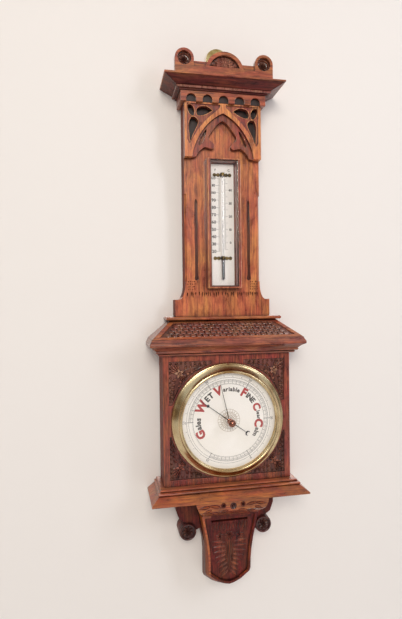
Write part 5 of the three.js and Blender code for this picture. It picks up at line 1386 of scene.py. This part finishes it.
# %% [markdown]
# ## The thermometer's tube
# The real tube has a bore of about one millimetre, and the CAD model draws it wider, so the points of
# the bore and of the mercury in it are drawn in toward the tube's axis. Makers back the tube with
# white enamel, so that the thin thread of mercury shows. The strip is the rear part of a cylinder,
# made flatter, and a modifier gives it its thickness.

# %% Draw the tube's bore finer
TUBE_AXIS = Vector((0, -40.3, 0)) * MM
BULB_TOP, BORE_REACH, BORE_SHARE = 344, 1.8, 0.35


def in_bore(point, normal):
    """Whether a point lies on the bore or on the mercury in it, above the bulb."""
    return point.z > BULB_TOP * MM and (point - TUBE_AXIS).xy.length < BORE_REACH * MM


for node, name, material in (("thermometer_tube", "tube_with_fine_bore", tube_glass),
                             ("mercury_column", "mercury_thread", quicksilver)):
    drawn = copied(node)
    pick(drawn, in_bore, "VERT")
    bpy.ops.transform.resize(value=(BORE_SHARE, BORE_SHARE, 1), center_override=TUBE_AXIS)
    stand_in(drawn, name, node, material)
print("a bore of one millimetre")

# %% Back the tube with white enamel
STRIP_RADIUS, STRIP_LENGTH, STRIP_MIDDLE = 3.45, 186, 439
STRIP_EDGE = Vector((0, -39.6, 0)) * MM
let_go()
bpy.ops.mesh.primitive_cylinder_add(
    vertices=24, radius=STRIP_RADIUS * MM, depth=STRIP_LENGTH * MM, end_fill_type="NOTHING",
    location=TUBE_AXIS + Vector((0, 0, STRIP_MIDDLE)) * MM)
enamel = bpy.context.object
bpy.ops.object.transform_apply(location=True, rotation=True, scale=True)
pick(enamel, lambda middle, normal: True)
bpy.ops.mesh.bisect(plane_co=STRIP_EDGE, plane_no=(0, -1, 0), clear_outer=True)
bpy.ops.mesh.select_all(action="SELECT")
bpy.ops.transform.resize(value=(1, 0.3, 1), center_override=STRIP_EDGE)
hold(enamel)
skin = enamel.modifiers.new("skin", "SOLIDIFY")
skin.thickness, skin.offset = 0.25 * MM, -1
bpy.ops.object.modifier_apply(modifier=skin.name)
settle(enamel, "tube_enamel", "thermometer_tube", white_enamel)
print("enamel strip", len(enamel.data.polygons), "faces")

# %% [markdown]
# ## The pressure hand
# A real hand is filed thin along its blade and left wide at its hub and its tip. The CAD hand stands
# where the pressure holds it, so it is turned upright, drawn narrower and turned back.

# %% Thin the pressure hand
HAND_TURN = math.radians(54)
hand = copied("indicator_hand")
hand.data.transform(Matrix.Rotation(HAND_TURN, 4, "Y"))
pick(hand, lambda point, normal: abs(point.x) < 1.7 * MM and abs(point.z) > 5 * MM, "VERT")
bpy.ops.transform.resize(value=(0.55, 1, 1), center_override=(0, 0, 0))
let_go()
hand.data.transform(Matrix.Rotation(-HAND_TURN, 4, "Y"))
stand_in(hand, "indicator_hand_thinned", "indicator_hand", blued_steel)
print("hand", len(hand.data.polygons), "faces")

# %% [markdown]
# ## The screws and the back board
# Two brass screws hold the hanging plate, and six hold the back board, which comes off when the
# movement needs oil. The board gets a sunk seat for each screw, and the slots stand at any angle, as
# a screwdriver leaves them.

# %% Cut the slots of the hanging plate's screws
for node, z in (("plate_screw_lower", 712), ("plate_screw_upper", 748)):
    screw = slotted(round_off(copied(node), 0.25), (0, -0.3, z), (10, 1.6, 1.1))
    stand_in(screw, node + "_slotted", node, brass)
print("two slots")

# %% Cut the back board and sink its screws
back = round_off(copied("case_back_board"), 0.8)
places = [(x, z) for x in (-112, 0, 112) for z in (-106, 113)]
seat = [(0, -2), (4.2, -2), (4.2, 0.4), (2.4, 2.6), (0, 2.6)]
chisel(back, [moved(turned(seat, 24), x, z) for x, z in places])
stand_in(back, "case_back_board_screwed", "case_back_board", case_oak)
heads = []
for x, z in places:
    head = turned([(0, 2.5), (2.2, 2.5), (3.9, 0.9), (3.7, 0.7), (0, 0.5)], 24)
    heads.append(moved(slotted(head, (0, 0, 0), (10, 2.6, 1.0), chance.uniform(0, 3)), x, z))
gathered(heads, "back_board_screws", "case_back_board", brass)
print("back board with", len(heads), "screws")

# %% [markdown]
# ## Clear the bench
# The patterns have done their work, so they are removed.

# %% Clear the bench and finish
for pattern in (leaf, blade, gouge, fish_scale):
    bpy.data.objects.remove(pattern)
